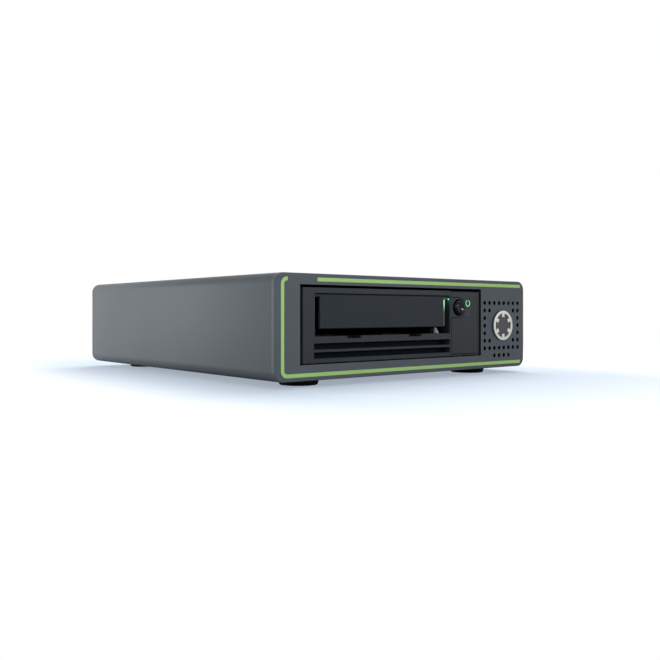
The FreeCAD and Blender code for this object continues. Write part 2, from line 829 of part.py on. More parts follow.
def rear_panel():
    """Rear plate with vents, cut-outs for the inlet, switch and data ports, and four screw holes."""
    y0, y1 = SLEEVE_REAR - CUT, REAR + CUT
    plate = rounded_plate(LEFT, RIGHT, BASE, TOP, CORNER_R, SLEEVE_REAR, REAR)
    plate = plate.makeChamfer(EDGE_CHAMFER, front_edges(plate, REAR))
    x, z = inlet_place()
    plate = plate.cut(block(x - INLET_W / 2 - PANEL_FIT, x + INLET_W / 2 + PANEL_FIT, y0, y1,
                            z - INLET_H / 2 - PANEL_FIT, z + INLET_H / 2 + PANEL_FIT))
    x, z = switch_place()
    half_w = SWITCH_W / 2 - SWITCH_MARGIN + PANEL_FIT
    half_h = SWITCH_H / 2 - SWITCH_MARGIN + PANEL_FIT
    plate = plate.cut(block(x - half_w, x + half_w, y0, y1, z - half_h, z + half_h))
    plate = plate.cut(cage_outline(y0, y1, PANEL_FIT))
    holes = [peg(SCREW_R, x, y0, z, y1 - y0, Y) for x, z in channel_places()]
    return plate.cut(holes + rear_vents(y0, y1))


def rear_panel_screws():
    return Part.Compound([pan_screw(x, REAR, z, Y * -1, REAR_SCREW_L) for x, z in channel_places()])


def rubber_feet():
    """Four round tapered feet, each with a recess for its screw."""
    feet = []
    for x, y in foot_places():
        low = ring_wire(FOOT_R - FOOT_TAPER, x, y, 0)
        high = ring_wire(FOOT_R, x, y, FOOT_HEIGHT)
        foot = Part.makeLoft([low, high], True)
        foot = foot.cut(peg(FOOT_RECESS_R, x, y, 0, FOOT_RECESS))
        feet.append(foot.cut(peg(SCREW_R, x, y, 0, FOOT_HEIGHT)))
    return Part.Compound(feet)


def underside_screws():
    """Screws put in from below: pan heads in the feet's recesses, sunk heads for the lugs and the chassis."""
    foot_screw_l = FOOT_HEIGHT - FOOT_RECESS + WALL
    screws = [pan_screw(x, y, FOOT_RECESS, Z, foot_screw_l) for x, y in foot_places()]
    screws += [sunk_screw(x, y, BASE, LUG_SCREW_L) for x, y in lug_places()]
    screws += [sunk_screw(x, y, BASE, WALL + SHEET_T) for x, y in chassis_screw_places()]
    return Part.Compound(screws)


# ---------------------------------------------------------------- inner chassis and fan

def drive_screw_places():
    """Side screws of the drive: outer face of the bracket, depth, height and direction."""
    places = []
    for y in DRIVE_HOLES_Y:
        places.append((DRIVE_LEFT - SHEET_T, FRONT + y, DRIVE_BASE + DRIVE_HOLE_Z, X))
        places.append((DRIVE_RIGHT + SHEET_T, FRONT + y, DRIVE_BASE + DRIVE_HOLE_Z, X * -1))
    return places


def fan_hole_places():
    half = FAN_HOLE_SPACING / 2
    return [(GRILLE_X + sx * half, GRILLE_CZ + sz * half) for sx in (-1, 1) for sz in (-1, 1)]


def power_post_places():
    x0, x1 = power_card_span()
    y0, y1 = FRONT + POWER_CARD_FRONT, FRONT + POWER_CARD_REAR
    inset = POWER_POST_INSET
    return [(x, y) for x in (x0 + inset, x1 - inset) for y in (y0 + inset, y1 - inset)]


def power_card_span():
    return DRIVE_RIGHT + SHEET_T + POWER_CARD_LEFT_GAP, RIGHT - WALL - POWER_CARD_RIGHT_GAP


def drive_brackets():
    """Two upright sheets that hold the drive, welded to the chassis floor, each with two windows."""
    low, high = FLANGE_WINDOW_Z
    under = FLOOR + SHEET_T
    flanges = []
    for x in (DRIVE_LEFT - SHEET_T, DRIVE_RIGHT):
        flange = block(x, x + SHEET_T, FLANGE_FRONT, FLANGE_REAR, under, DRIVE_BASE + FLANGE_H)
        for y in FLANGE_WINDOWS_Y:
            start = FRONT + y
            end = start + FLANGE_WINDOW_L
            flange = flange.cut(block(x, x + SHEET_T, start, end, under + low, under + high))
        holes = [peg(SCREW_R, sx, y, z, SHEET_T, into) for sx, y, z, into in drive_screw_places()]
        flanges.append(flange.cut(holes))
    return Part.Compound(flanges)


def fan_bracket():
    """Upright sheet that the fan is screwed to, with a foot welded to the chassis floor."""
    half = FAN_SIZE / 2
    far = RIGHT - WALL - CHASSIS_SIDE_GAP
    y0, y1 = FAN_PLATE_Y, FAN_PLATE_Y + SHEET_T
    left = GRILLE_X - half + FAN_PLATE_INSET
    plate = block(left, GRILLE_X + half - FAN_PLATE_INSET, y0, y1, GRILLE_CZ - half, GRILLE_CZ + half)
    plate = plate.fuse(block(left, far, y0, y1, FLOOR + SHEET_T, GRILLE_CZ - half)).removeSplitter()
    through = SHEET_T + 2 * CUT
    plate = plate.cut(peg(FAN_BORE_R, GRILLE_X, y0 - CUT, GRILLE_CZ, through, Y, LAMP_SIDES))
    return plate.cut([peg(SCREW_R, x, y0 - CUT, z, through, Y) for x, z in fan_hole_places()])


def inner_chassis():
    """Sheet floor of the chassis, with a tongue under the fan and the posts of the power board."""
    side = LEFT + WALL + CHASSIS_SIDE_GAP
    far = RIGHT - WALL - CHASSIS_SIDE_GAP
    under = FLOOR + SHEET_T
    body = block(side, far, CHASSIS_FRONT, CHASSIS_REAR, FLOOR, under)
    body = body.fuse(block(DRIVE_RIGHT + SHEET_T, far, FAN_PLATE_Y, CHASSIS_FRONT, FLOOR, under))
    posts = [peg(POWER_POST_R, x, y, under, POWER_CARD_LIFT) for x, y in power_post_places()]
    body = body.fuse(posts)
    body = body.cut([peg(SCREW_R, x, y, FLOOR, SHEET_T) for x, y in chassis_screw_places()])
    return body.removeSplitter()


def fan_front():
    return FAN_PLATE_Y + SHEET_T


def fan_frame():
    """Square fan frame with four corner holes, a round duct and struts that hold the bearing."""
    half = FAN_SIZE / 2
    y0 = fan_front()
    back = y0 + FAN_T
    body = block(GRILLE_X - half, GRILLE_X + half, y0, back, GRILLE_CZ - half, GRILLE_CZ + half)
    body = body.cut(peg(FAN_BORE_R, GRILLE_X, y0, GRILLE_CZ, FAN_T, Y, WHEEL_SIDES))
    struts = []
    for index in range(FAN_STRUTS):
        strut = block(GRILLE_X - STRUT_W / 2, GRILLE_X + STRUT_W / 2, back - STRUT_T, back,
                      GRILLE_CZ + STRUT_START, GRILLE_CZ + FAN_BORE_R + STRUT_SINK)
        strut.rotate(Vector(GRILLE_X, 0, GRILLE_CZ), Y, 360 / FAN_STRUTS * index + STRUT_TURN)
        struts.append(strut)
    cup = peg(FAN_HUB_R, GRILLE_X, back - STRUT_T, GRILLE_CZ, STRUT_T, Y, LAMP_SIDES)
    body = body.fuse(struts + [cup])
    body = body.cut(rod(FAN_SHAFT_R + RUNNING_FIT, GRILLE_X, back - STRUT_T, GRILLE_CZ, STRUT_T, Y))
    return body.cut([peg(SCREW_R, x, y0, z, FAN_T, Y) for x, z in fan_hole_places()])


def fan_rotor():
    """Hub with pitched blades and a shaft in the frame's bearing."""
    hub = peg(FAN_HUB_R, 0, 0, 0, ROTOR_D, Y, LAMP_SIDES)
    blade = block(-BLADE_CHORD / 2, BLADE_CHORD / 2, -BLADE_T / 2, BLADE_T / 2,
                  FAN_HUB_R - BLADE_SINK, FAN_BORE_R - FAN_TIP_GAP)
    blade.rotate(Vector(0, 0, 0), Z, BLADE_PITCH)
    blade.translate(Vector(0, ROTOR_D / 2, 0))
    blades = []
    for index in range(FAN_BLADES):
        copy = blade.copy()
        copy.rotate(Vector(0, 0, 0), Y, 360 * index / FAN_BLADES)
        blades.append(copy)
    shaft = peg(FAN_SHAFT_R, 0, ROTOR_D, 0, ROTOR_SHAFT_L, Y, POST_SIDES)
    rotor = hub.fuse(blades + [shaft])
    rotor.translate(Vector(GRILLE_X, fan_front() + ROTOR_INSET, GRILLE_CZ))
    return rotor


def fan_screws():
    return Part.Compound([pan_screw(x, FAN_PLATE_Y, z, Y, FAN_SCREW_L) for x, z in fan_hole_places()])


# ---------------------------------------------------------------- drive case and bezel

def boss_places():
    """Centres of the bosses in the corners of the drive's tub."""
    return [(x, y) for x in (DRIVE_LEFT + BOSS_INSET, DRIVE_RIGHT - BOSS_INSET)
            for y in (CASE_FRONT + BOSS_FRONT, DRIVE_REAR - BOSS_INSET)]


def sled_rails():
    """Rails on the deck, under the sled's side plates."""
    start = FRONT + SLED_FRONT - RAIL_MARGIN
    end = FRONT + SLED_FRONT + SLED_LENGTH + SLED_TRAVEL + RAIL_MARGIN
    half = RAIL_W / 2
    return [block(x - half, x + half, start, end, DECK, sled_base() - SLIDE_GAP) for x in sled_wall_centres()]


def drive_base():
    """Cast tub: side walls with windows, deck, rear wall, rails for the sled and corner bosses."""
    x0, x1 = DRIVE_LEFT, DRIVE_RIGHT
    in0, in1 = x0 + CASE_WALL, x1 - CASE_WALL
    under = DRIVE_TOP - COVER_T
    shell = block(x0, x1, CASE_FRONT, DRIVE_REAR, DRIVE_BASE, under)
    body = shell.cut(block(in0, in1, CASE_FRONT, DRIVE_REAR - CASE_WALL, DECK, under))
    body = body.cut(block(in0, in1, CASE_FRONT, DRIVE_REAR, DRIVE_BASE, DECK - DECK_T))
    bosses = [peg(BOSS_R, x, y, DECK, under - DECK) for x, y in boss_places()]
    body = body.fuse(sled_rails() + bosses).common(shell)
    through = SHEET_T + CASE_WALL
    body = body.cut([peg(SCREW_R, x, y, z, through, into) for x, y, z, into in drive_screw_places()])
    low, high = CASE_WINDOW_Z
    for x in (x0, in1):
        for y in CASE_WINDOWS_Y:
            start = FRONT + y
            body = body.cut(block(x, x + CASE_WALL, start, start + CASE_WINDOW_L, DECK + low, DECK + high))
    return body.removeSplitter()


def drive_top_cover():
    return block(DRIVE_LEFT, DRIVE_RIGHT, CASE_FRONT, DRIVE_REAR, DRIVE_TOP - COVER_T, DRIVE_TOP)


def drive_screws():
    """Side screws that hold the drive in the chassis."""
    length = SHEET_T + CASE_WALL
    return Part.Compound([pan_screw(x, y, z, into, length) for x, y, z, into in drive_screw_places()])


def control_land(y0, y1, margin=0.0):
    """D-shaped land round the eject button, open at the cover's left edge."""
    radius = BUTTON_LAND_R + margin
    straight = block(CONTROL_LEFT - CONTROL_GROOVE, BUTTON_X, y0, y1, BUTTON_CZ - radius, BUTTON_CZ + radius)
    return straight.fuse(rod(radius, BUTTON_X, y0, BUTTON_CZ, y1 - y0, Y))


def lamp_body(z, y0, y1, margin=0.0):
    """Horseshoe light pipe, open at the top."""
    outer = peg(LAMP_R + margin, LAMP_X, y0, z, y1 - y0, Y, LAMP_SIDES)
    ring = outer.cut(peg(LAMP_R - LAMP_STROKE - margin, LAMP_X, y0, z, y1 - y0, Y, LAMP_SIDES))
    reach = 2 * LAMP_R
    half = math.radians(LAMP_OPEN_ANGLE / 2)
    wedge = prism([(LAMP_X, y0, z), (LAMP_X + reach * math.sin(half), y0, z + reach * math.cos(half)),
                   (LAMP_X - reach * math.sin(half), y0, z + reach * math.cos(half))], Y * (y1 - y0))
    return ring.cut(wedge)


def lamp_centres():
    return DRIVE_BASE + LAMP_Z, DRIVE_BASE + FAULT_LAMP_Z


def bay_lamp_span():
    """Corners in Y and Z of the small lamp in the right cheek of the cartridge opening."""
    (y0, y1), (low, high) = BAY_LAMP_Y, BAY_LAMP_DROP
    return FRONT + y0, FRONT + y1, SLOT_TOP - low, SLOT_TOP - high


def louvre_tools(y0, y1):
    """Two long pockets under the cartridge opening, each with a row of slots through its back."""
    x = DRIVE_LEFT + LOUVRE_INSET
    cell = (LOUVRE_W - (LOUVRE_SLOTS + 1) * LOUVRE_RIB) / LOUVRE_SLOTS
    tools = []
    for z in LOUVRE_Z:
        low = DRIVE_BASE + z
        tools.append(block(x, x + LOUVRE_W, y0, FRONT + LOUVRE_DEPTH, low, low + LOUVRE_H))
        for index in range(LOUVRE_SLOTS):
            start = x + LOUVRE_RIB + index * (cell + LOUVRE_RIB)
            tools.append(block(start, start + cell, y0, y1, low, low + LOUVRE_SLOT_H))
    return tools


def control_tools(y0, y1):
    """Seat of the control cover round the button's land, and the pocket, bore and slots behind it."""
    groove = CONTROL_GROOVE
    seat = block(CONTROL_LEFT - groove, CONTROL_RIGHT + groove, y0, FRONT + CONTROL_T,
                 CONTROL_BASE - groove, CONTROL_TOP + groove)
    margin = CONTROL_POCKET_MARGIN
    pocket = block(CONTROL_LEFT + margin, CONTROL_RIGHT - margin, FRONT + SKIN_T, y1,
                   CONTROL_BASE + margin, CONTROL_TOP - margin)
    bore = rod(BUTTON_R + BUTTON_GAP, BUTTON_X, y0, BUTTON_CZ, BUTTON_BORE_D, Y)
    lamps = [lamp_body(z, FRONT, FRONT + SKIN_T + CUT, LAMP_FIT) for z in lamp_centres()]
    return [seat.cut(control_land(y0, FRONT + CONTROL_T)), pocket, bore] + lamps


def drive_bezel():
    """Moulded front bezel with the cartridge opening, louvres, button land and control cover seat."""
    y0, y1 = FRONT - CUT, CASE_FRONT + CUT
    body = block(DRIVE_LEFT, DRIVE_RIGHT, FRONT, CASE_FRONT, DRIVE_BASE, DRIVE_TOP)
    body = body.makeChamfer(BEZEL_CHAMFER, front_edges(body, FRONT))
    body = body.cut(block(SLOT_LEFT, SLOT_RIGHT, y0, y1, SLOT_FLOOR, SLOT_TOP))
    for inset in NOTCH_INSETS:
        x = DRIVE_LEFT + inset
        body = body.cut(block(x, x + NOTCH_W, y0, FRONT + NOTCH_D, SLOT_FLOOR - NOTCH_DEPTH, SLOT_FLOOR))
    for tool in louvre_tools(y0, y1) + control_tools(y0, y1):
        body = body.cut(tool)
    body = body.cut(door_pin())
    ya, yb, za, zb = bay_lamp_span()
    return body.cut(block(SLOT_RIGHT, SLOT_RIGHT + BAY_LAMP_SINK, ya, yb, za, zb)).removeSplitter()


def control_cover():
    """Thin cover over the controls, cut away round the button's land."""
    plate = block(CONTROL_LEFT, CONTROL_RIGHT, FRONT, FRONT + CONTROL_T, CONTROL_BASE, CONTROL_TOP)
    plate = plate.cut(control_land(FRONT, FRONT + CONTROL_T, CONTROL_GROOVE))
    for z in lamp_centres():
        plate = plate.cut(lamp_body(z, FRONT, FRONT + CONTROL_T, LAMP_FIT))
    return plate


def status_lamp():
    return lamp_body(lamp_centres()[0], FRONT, BOARD_Y - LED_T)


def fault_lamp():
    return lamp_body(lamp_centres()[1], FRONT, BOARD_Y - LED_T)


def bay_lamp():
    ya, yb, za, zb = bay_lamp_span()
    return block(SLOT_RIGHT - BAY_LAMP_PROUD, SLOT_RIGHT + BAY_LAMP_SINK, ya, yb, za, zb)


def flange_front():
    """Front face of the button's flange, behind the bezel's skin."""
    return FRONT + SKIN_T + BUTTON_FLANGE_GAP


def eject_button():
    """Domed button with a retaining flange and a stem that presses the switch."""
    tip = FRONT - BUTTON_PROUD
    dome_r = (BUTTON_R ** 2 + BUTTON_DOME_H ** 2) / (2 * BUTTON_DOME_H)
    dome = Part.makeSphere(dome_r, Vector(BUTTON_X, tip + dome_r, BUTTON_CZ))
    shank = rod(BUTTON_R, BUTTON_X, tip, BUTTON_CZ, flange_front() - tip, Y)
    flange = peg(BUTTON_FLANGE_R, BUTTON_X, flange_front(), BUTTON_CZ, BUTTON_FLANGE_T, Y, LAMP_SIDES)
    stem = peg(BUTTON_STEM_R, BUTTON_X, flange_front(), BUTTON_CZ, BUTTON_STEM_L, Y)
    return shank.common(dome).fuse([flange, stem])


def button_dome():
    """Rubber sleeve that pushes the button back out."""
    y0 = flange_front() + BUTTON_FLANGE_T
    height = BOARD_Y - y0
    outer = peg(BUTTON_FLANGE_R, BUTTON_X, y0, BUTTON_CZ, height, Y, POST_SIDES)
    return outer.cut(peg(BUTTON_FLANGE_R - SLEEVE_WALL, BUTTON_X, y0, BUTTON_CZ, height, Y, POST_SIDES))


def square_part(x, z, width, thickness):
    """Square component on the front of the lamp board."""
    half = width / 2
    return block(x - half, x + half, BOARD_Y - thickness, BOARD_Y, z - half, z + half)


def lamp_board():
    """Small circuit board behind the controls, with two light sources and the eject switch."""
    margin = LAMP_BOARD_MARGIN
    board = block(CONTROL_LEFT + margin, CONTROL_RIGHT - margin, BOARD_Y, BOARD_Y + LAMP_BOARD_T,
                  DECK + margin, CONTROL_TOP - margin)
    parts = [square_part(LAMP_X, z, LED_W, LED_T) for z in lamp_centres()]
    key = square_part(BUTTON_X, BUTTON_CZ, KEY_W, KEY_T)
    tip = flange_front() + BUTTON_STEM_L + BUTTON_TRAVEL + KEY_GAP
    plunger = peg(KEY_PLUNGER_R, BUTTON_X, tip, BUTTON_CZ, BOARD_Y - tip, Y)
    return board.fuse(parts + [key, plunger])


def cartridge_door():
    """Door hung from a bar across the top of the opening, with stiffening ribs inside."""
    x0, x1 = SLOT_LEFT + DOOR_SIDE_GAP, SLOT_RIGHT - DOOR_SIDE_GAP
    front = DOOR_AXIS_Y - DOOR_BAR_R
    back = front + DOOR_T
    low = SLOT_FLOOR + DOOR_BOTTOM_GAP
    bar_x = SLOT_LEFT + DOOR_BAR_GAP_LEFT
    bar_length = SLOT_W - DOOR_BAR_GAP_LEFT - DOOR_BAR_GAP_RIGHT
    bar = rod(DOOR_BAR_R, bar_x, DOOR_AXIS_Y, DOOR_AXIS_Z, bar_length, X)
    apron = block(bar_x, bar_x + bar_length, front, DOOR_AXIS_Y, DOOR_AXIS_Z - DOOR_APRON_H, DOOR_AXIS_Z)
    plate = block(x0, x1, front, back, low, DOOR_AXIS_Z)
    lower = [e for e in plate.Edges if abs(e.BoundBox.ZMax - low) < 0.001 and e.BoundBox.XLength > DOOR_T]
    plate = plate.makeFillet(DOOR_EDGE_R, lower)
    width = DOOR_RIB_W
    starts = (x0 + DOOR_RIB_INSET, (x0 + x1 - width) / 2, x1 - DOOR_RIB_INSET - width)
    ribs = [block(x, x + width, back, back + DOOR_RIB_T, low + DOOR_RIB_LOW, DOOR_AXIS_Z - DOOR_RIB_INSET)
            for x in starts]
    door = bar.fuse([apron, plate] + ribs)
    bore = rod(DOOR_PIN_R + RUNNING_FIT, bar_x, DOOR_AXIS_Y, DOOR_AXIS_Z, bar_length, X)
    return door.cut(bore).removeSplitter()


def door_pin():
    return rod(DOOR_PIN_R, SLOT_LEFT - PIN_SEAT, DOOR_AXIS_Y, DOOR_AXIS_Z, SLOT_W + 2 * PIN_SEAT, X)


def guide_spring():
    """Bent leaf on the floor of the opening that steers the cartridge to the left."""
    x0, x1 = SLOT_RIGHT - LEAF_INSET - LEAF_W, SLOT_RIGHT - LEAF_INSET
    high = SLOT_FLOOR + LEAF_H
    points = [(x0, SLOT_FLOOR), (x1, SLOT_FLOOR), (x0 + LEAF_TIP, high), (x0, high)]
    return prism([(x, FRONT + LEAF_Y, z) for x, z in points], Y * LEAF_L)


# ---------------------------------------------------------------- loader

def tray_x():
    half = CARTRIDGE_W / 2 + TRAY_FIT
    return BAY_X - half, BAY_X + half


def sled_wall_centres():
    x0, x1 = tray_x()
    offset = TRAY_WALL + SLED_GAP + SLED_WALL / 2
    return x0 - offset, x1 + offset


def sled_base():
    return DECK + SLED_LIFT


def sled_top():
    return DRIVE_TOP - COVER_T - SLED_TOP_GAP


def pitch_x():
    """Plane of the rack's pitch line."""
    return sled_wall_centres()[1] + SLED_WALL / 2 + RACK_GAP


def idler_place():
    return pitch_x() + IDLER_TEETH * MODULE / 2, FRONT + IDLER_Y


def reducer_place():
    """The large gear runs close to the drive's right wall and the small one meets the idler."""
    x, y = idler_place()
    distance = (IDLER_TEETH + REDUCER_SMALL_TEETH) * MODULE / 2
    tip_r = (REDUCER_LARGE_TEETH / 2 + ADDENDUM) * MODULE
    beside_wall = DRIVE_RIGHT - CASE_WALL - REDUCER_WALL_GAP - tip_r
    return beside_wall, y + math.sqrt(distance ** 2 - (beside_wall - x) ** 2)


def pinion_place():
    x, y = reducer_place()
    distance = (REDUCER_LARGE_TEETH + PINION_TEETH) * MODULE / 2
    return x + MOTOR_SHIFT_X, y + math.sqrt(distance ** 2 - MOTOR_SHIFT_X ** 2)


def bearing(start, end):
    """Direction from one gear centre to another, in radians."""
    return math.atan2(end[1] - start[1], end[0] - start[0])


def idler_phase():
    """A tooth of the idler points straight at the rack."""
    return math.pi


def reducer_small_phase():
    """A gap of the small reducer gear takes the idler's tooth nearest to the line of centres."""
    toward = bearing(idler_place(), reducer_place())
    pitch = 2 * math.pi / IDLER_TEETH
    lead = (idler_phase() - toward) % pitch
    back = toward + math.pi
    return back - lead * IDLER_TEETH / REDUCER_SMALL_TEETH + math.pi / REDUCER_SMALL_TEETH


def reducer_large_phase():
    return bearing(reducer_place(), pinion_place())


def pinion_phase():
    """A gap of the pinion takes the large reducer gear's tooth on the line of centres."""
    return bearing(pinion_place(), reducer_place()) + math.pi / PINION_TEETH


def rack():
    """Toothed rail on the sled's right wall, with a gap opposite the idler's tooth."""
    pitch = math.pi * MODULE
    x0 = sled_wall_centres()[1] + SLED_WALL / 2
    tip = pitch_x() + ADDENDUM * MODULE
    root = pitch_x() - DEDENDUM * MODULE
    lean = math.tan(math.radians(PRESSURE_ANGLE))
    half = pitch / 4 - BACKLASH / 4
    y_gap = idler_place()[1]
    z = DECK + GEAR_LOW_Z
    start = y_gap + (RACK_FIRST - 0.5) * pitch
    bar = block(x0, root, start, start + (RACK_TEETH + 1) * pitch, z, z + GEAR_T)
    wide = half + DEDENDUM * MODULE * lean
    narrow = half - ADDENDUM * MODULE * lean
    foot = root - RACK_SINK
    parts = []
    for index in range(RACK_TEETH):
        y = y_gap + (RACK_FIRST + index + 0.5) * pitch
        outline = [(foot, y - wide, z), (tip, y - narrow, z), (tip, y + narrow, z), (foot, y + wide, z)]
        parts.append(prism(outline, Z * GEAR_T))
    return bar.fuse(parts)


def tray_pin_places():
    """Depth of the two pins on each side of the tray, at rest."""
    y0 = FRONT + SLED_FRONT
    return y0 + TRAY_PIN_FRONT, y0 + SLED_LENGTH - TRAY_PIN_REAR


def tray_pin_z():
    return SLOT_FLOOR + TRAY_PIN_LIFT


def pin_slot(x, y):
    """Upright slot through a side plate, for a tray pin over the tray's whole drop."""
    half = TRAY_PIN_R + PIN_SLOT_FIT
    high = tray_pin_z()
    low = high - TRAY_DROP
    slot = block(x - SLED_WALL, x + SLED_WALL, y - half, y + half, low, high)
    return slot.fuse([peg(half, x - SLED_WALL, y, end, 2 * SLED_WALL, X) for end in (low, high)])


def loader_sled():
    """Two side plates with slots for the tray's pins, a bridge over the cartridge, and the rack."""
    y0 = FRONT + SLED_FRONT
    left, right = sled_wall_centres()
    half = SLED_WALL / 2
    low, high = sled_base(), sled_top()
    walls = [block(x - half, x + half, y0, y0 + SLED_LENGTH, low, high) for x in (left, right)]
    front, back = BRIDGE_Y
    bridge = block(left - half, right + half, y0 + front, y0 + back, high - BRIDGE_T, high)
    slots = [pin_slot(x, y) for x in (left, right) for y in tray_pin_places()]
    return walls[0].fuse([walls[1], bridge]).cut(slots).fuse(rack()).removeSplitter()


def cartridge_tray():
    """Tray that carries the cartridge: floor cut open for the clutch, side walls, rear stop and pins."""
    x0, x1 = tray_x()
    y0 = FRONT + SLED_FRONT - TRAY_LEAD
    y1 = FRONT + SLED_FRONT + SLED_LENGTH
    z1 = SLOT_FLOOR + TRAY_FIT
    z0 = z1 - TRAY_WALL
    body = block(x0 - TRAY_WALL, x1 + TRAY_WALL, y0, y1 - TRAY_LEAD, z0, z1)
    for x in (x0 - TRAY_WALL, x1):
        body = body.fuse(block(x, x + TRAY_WALL, y0, y1, z0, z0 + TRAY_SIDE_H))
    clear = HUB_R + HUB_CLEAR
    body = body.cut(block(BAY_X - clear, BAY_X + clear, y0, FRONT + HUB_Y + clear, z0, z1))
    stop_y = CASE_FRONT + TRAY_STOP_GAP + CARTRIDGE_D - SLED_TRAVEL
    left, right = (BAY_X + x for x in TRAY_STOP_X)
    body = body.fuse(block(left, right, y1 - 2 * TRAY_LEAD, stop_y + TRAY_WALL, z0, z1))
    body = body.fuse(block(left, right, stop_y, stop_y + TRAY_WALL, z0, z0 + TRAY_STOP_H))
    reach = SLED_GAP + SLED_WALL + PIN_SLOT_FIT
    pins = []
    for y in tray_pin_places():
        pins.append(peg(TRAY_PIN_R, x0 - TRAY_WALL - reach, y, tray_pin_z(), reach, X))
        pins.append(peg(TRAY_PIN_R, x1 + TRAY_WALL, y, tray_pin_z(), reach, X))
    return body.fuse(pins).removeSplitter()


def idler_gear():
    x, y = idler_place()
    z = DECK + GEAR_LOW_Z
    gear = toothed_disc(IDLER_TEETH, idler_phase(), x, y, z)
    return gear.cut(rod(GEAR_PIN_R + RUNNING_FIT, x, y, z, GEAR_T))


def reduction_gear():
    """Small gear that drives the idler and large gear that the motor's pinion drives, on one hub."""
    x, y = reducer_place()
    low, high = DECK + GEAR_LOW_Z, DECK + GEAR_HIGH_Z
    small = toothed_disc(REDUCER_SMALL_TEETH, reducer_small_phase(), x, y, low)
    large = toothed_disc(REDUCER_LARGE_TEETH, reducer_large_phase(), x, y, high)
    hub = peg(REDUCER_HUB_R, x, y, low, high - low, Z, POST_SIDES)
    return small.fuse([large, hub]).cut(rod(GEAR_PIN_R + RUNNING_FIT, x, y, low, high - low + GEAR_T))


def loader_pinion():
    """Pinion on the end of the loader motor's shaft."""
    x, y = pinion_place()
    high = DECK + GEAR_HIGH_Z
    gear = toothed_disc(PINION_TEETH, pinion_phase(), x, y, high)
    return gear.fuse(rod(MOTOR_SHAFT_R, x, y, high - MOTOR_SHAFT_DROP, MOTOR_SHAFT_DROP + GEAR_T))


def loader_motor():
    """Round loader motor with a boss round its shaft."""
    x, y = pinion_place()
    height = GEAR_HIGH_Z - MOTOR_TOP_GAP
    can = peg(MOTOR_R, x, y, DECK, height, Z, WHEEL_SIDES)
    boss = peg(MOTOR_BOSS_R, x, y, DECK + height, MOTOR_BOSS_H, Z, POST_SIDES)
    return can.fuse(boss).cut(rod(MOTOR_SHAFT_R + RUNNING_FIT, x, y, DECK + MOTOR_BORE_Z, height))


# ---------------------------------------------------------------- tape transport

def hub_place():
    return BAY_X, FRONT + HUB_Y


def reel_place():
    return DRIVE_LEFT + REEL_INSET_X, FRONT + REEL_Y


def spindle_motor():
    """Flat motor on the deck under the cartridge, with its shaft."""
    x, y = hub_place()
    can = peg(SPINDLE_MOTOR_R, x, y, DECK, MOTOR_H, Z, WHEEL_SIDES)
    return can.fuse(rod(HUB_SHAFT_R, x, y, DECK + MOTOR_H, HUB_LIFT + HUB_T))


def spindle_hub():
    """Drive clutch with a ring of radial teeth that grips the cartridge's hub."""
    x, y = hub_place()
    low = DECK + MOTOR_H + HUB_LIFT
    high = low + HUB_T
    inner, outer = HUB_TOOTH_R
    narrow, wide = (width / 2 for width in HUB_TOOTH_W)
    tooth = prism([(x + inner, y - narrow, high), (x + outer, y - wide, high),
                   (x + outer, y + wide, high), (x + inner, y + narrow, high)], Z * HUB_TOOTH_H)
    teeth = []
    for index in range(HUB_TEETH):
        copy = tooth.copy()
        copy.rotate(Vector(x, y, 0), Z, 360 * index / HUB_TEETH)
        teeth.append(copy)
    return rod(HUB_R, x, y, low, HUB_T).fuse(teeth).cut(rod(HUB_SHAFT_R + RUNNING_FIT, x, y, low, HUB_T))


def takeup_motor():
    x, y = reel_place()
    shaft = MOTOR_GAP + 2 * REEL_FLANGE_T + REEL_GAP + REEL_SHAFT_RISE
    can = peg(REEL_MOTOR_R, x, y, DECK, REEL_MOTOR_H, Z, WHEEL_SIDES)
    return can.fuse(rod(SHAFT_R, x, y, DECK + REEL_MOTOR_H, shaft))


def takeup_reel():
    """Take-up reel: hub between two flanges, with openings in the top one."""
    x, y = reel_place()
    low = DECK + REEL_MOTOR_H + MOTOR_GAP
    high = low + REEL_FLANGE_T + REEL_GAP
    height = high + REEL_FLANGE_T - low
    flanges = [peg(REEL_R, x, y, z, REEL_FLANGE_T, Z, WHEEL_SIDES) for z in (low, high)]
    body = rod(REEL_HUB_R, x, y, low, height).fuse(flanges)
    body = body.cut(rod(SHAFT_R + RUNNING_FIT, x, y, low, height))
    reach = (REEL_R + REEL_HUB_R) / 2
    windows = []
    for index in range(REEL_WINDOWS):
        angle = 2 * math.pi * index / REEL_WINDOWS
        wx, wy = x + reach * math.cos(angle), y + reach * math.sin(angle)
        windows.append(peg(REEL_WINDOW_R, wx, wy, high, REEL_FLANGE_T, Z, POST_SIDES))
    return body.cut(windows)


def roller_centres():
    return [(DRIVE_LEFT + x, FRONT + y) for x, y in ROLLER_PLACES]


def guide_roller(index):
    """Flanged roller that turns on its post."""
    x, y = roller_centres()[index]
    z = DECK + ROLLER_LIFT
    ends = (z, z + ROLLER_H - ROLLER_FLANGE_T)
    flanges = [peg(ROLLER_R, x, y, end, ROLLER_FLANGE_T, Z, ROLLER_SIDES) for end in ends]
    barrel = peg(ROLLER_BARREL_R, x, y, z, ROLLER_H, Z, ROLLER_SIDES)
    return barrel.fuse(flanges).cut(rod(POST_R + RUNNING_FIT, x, y, z, ROLLER_H)).removeSplitter()


def stepped_post(x, y, foot_r, foot_h, radius, height):
    """Post that stands on the deck, with a wider foot."""
    return peg(foot_r, x, y, DECK, foot_h).fuse(peg(radius, x, y, DECK, height, Z, POST_SIDES))


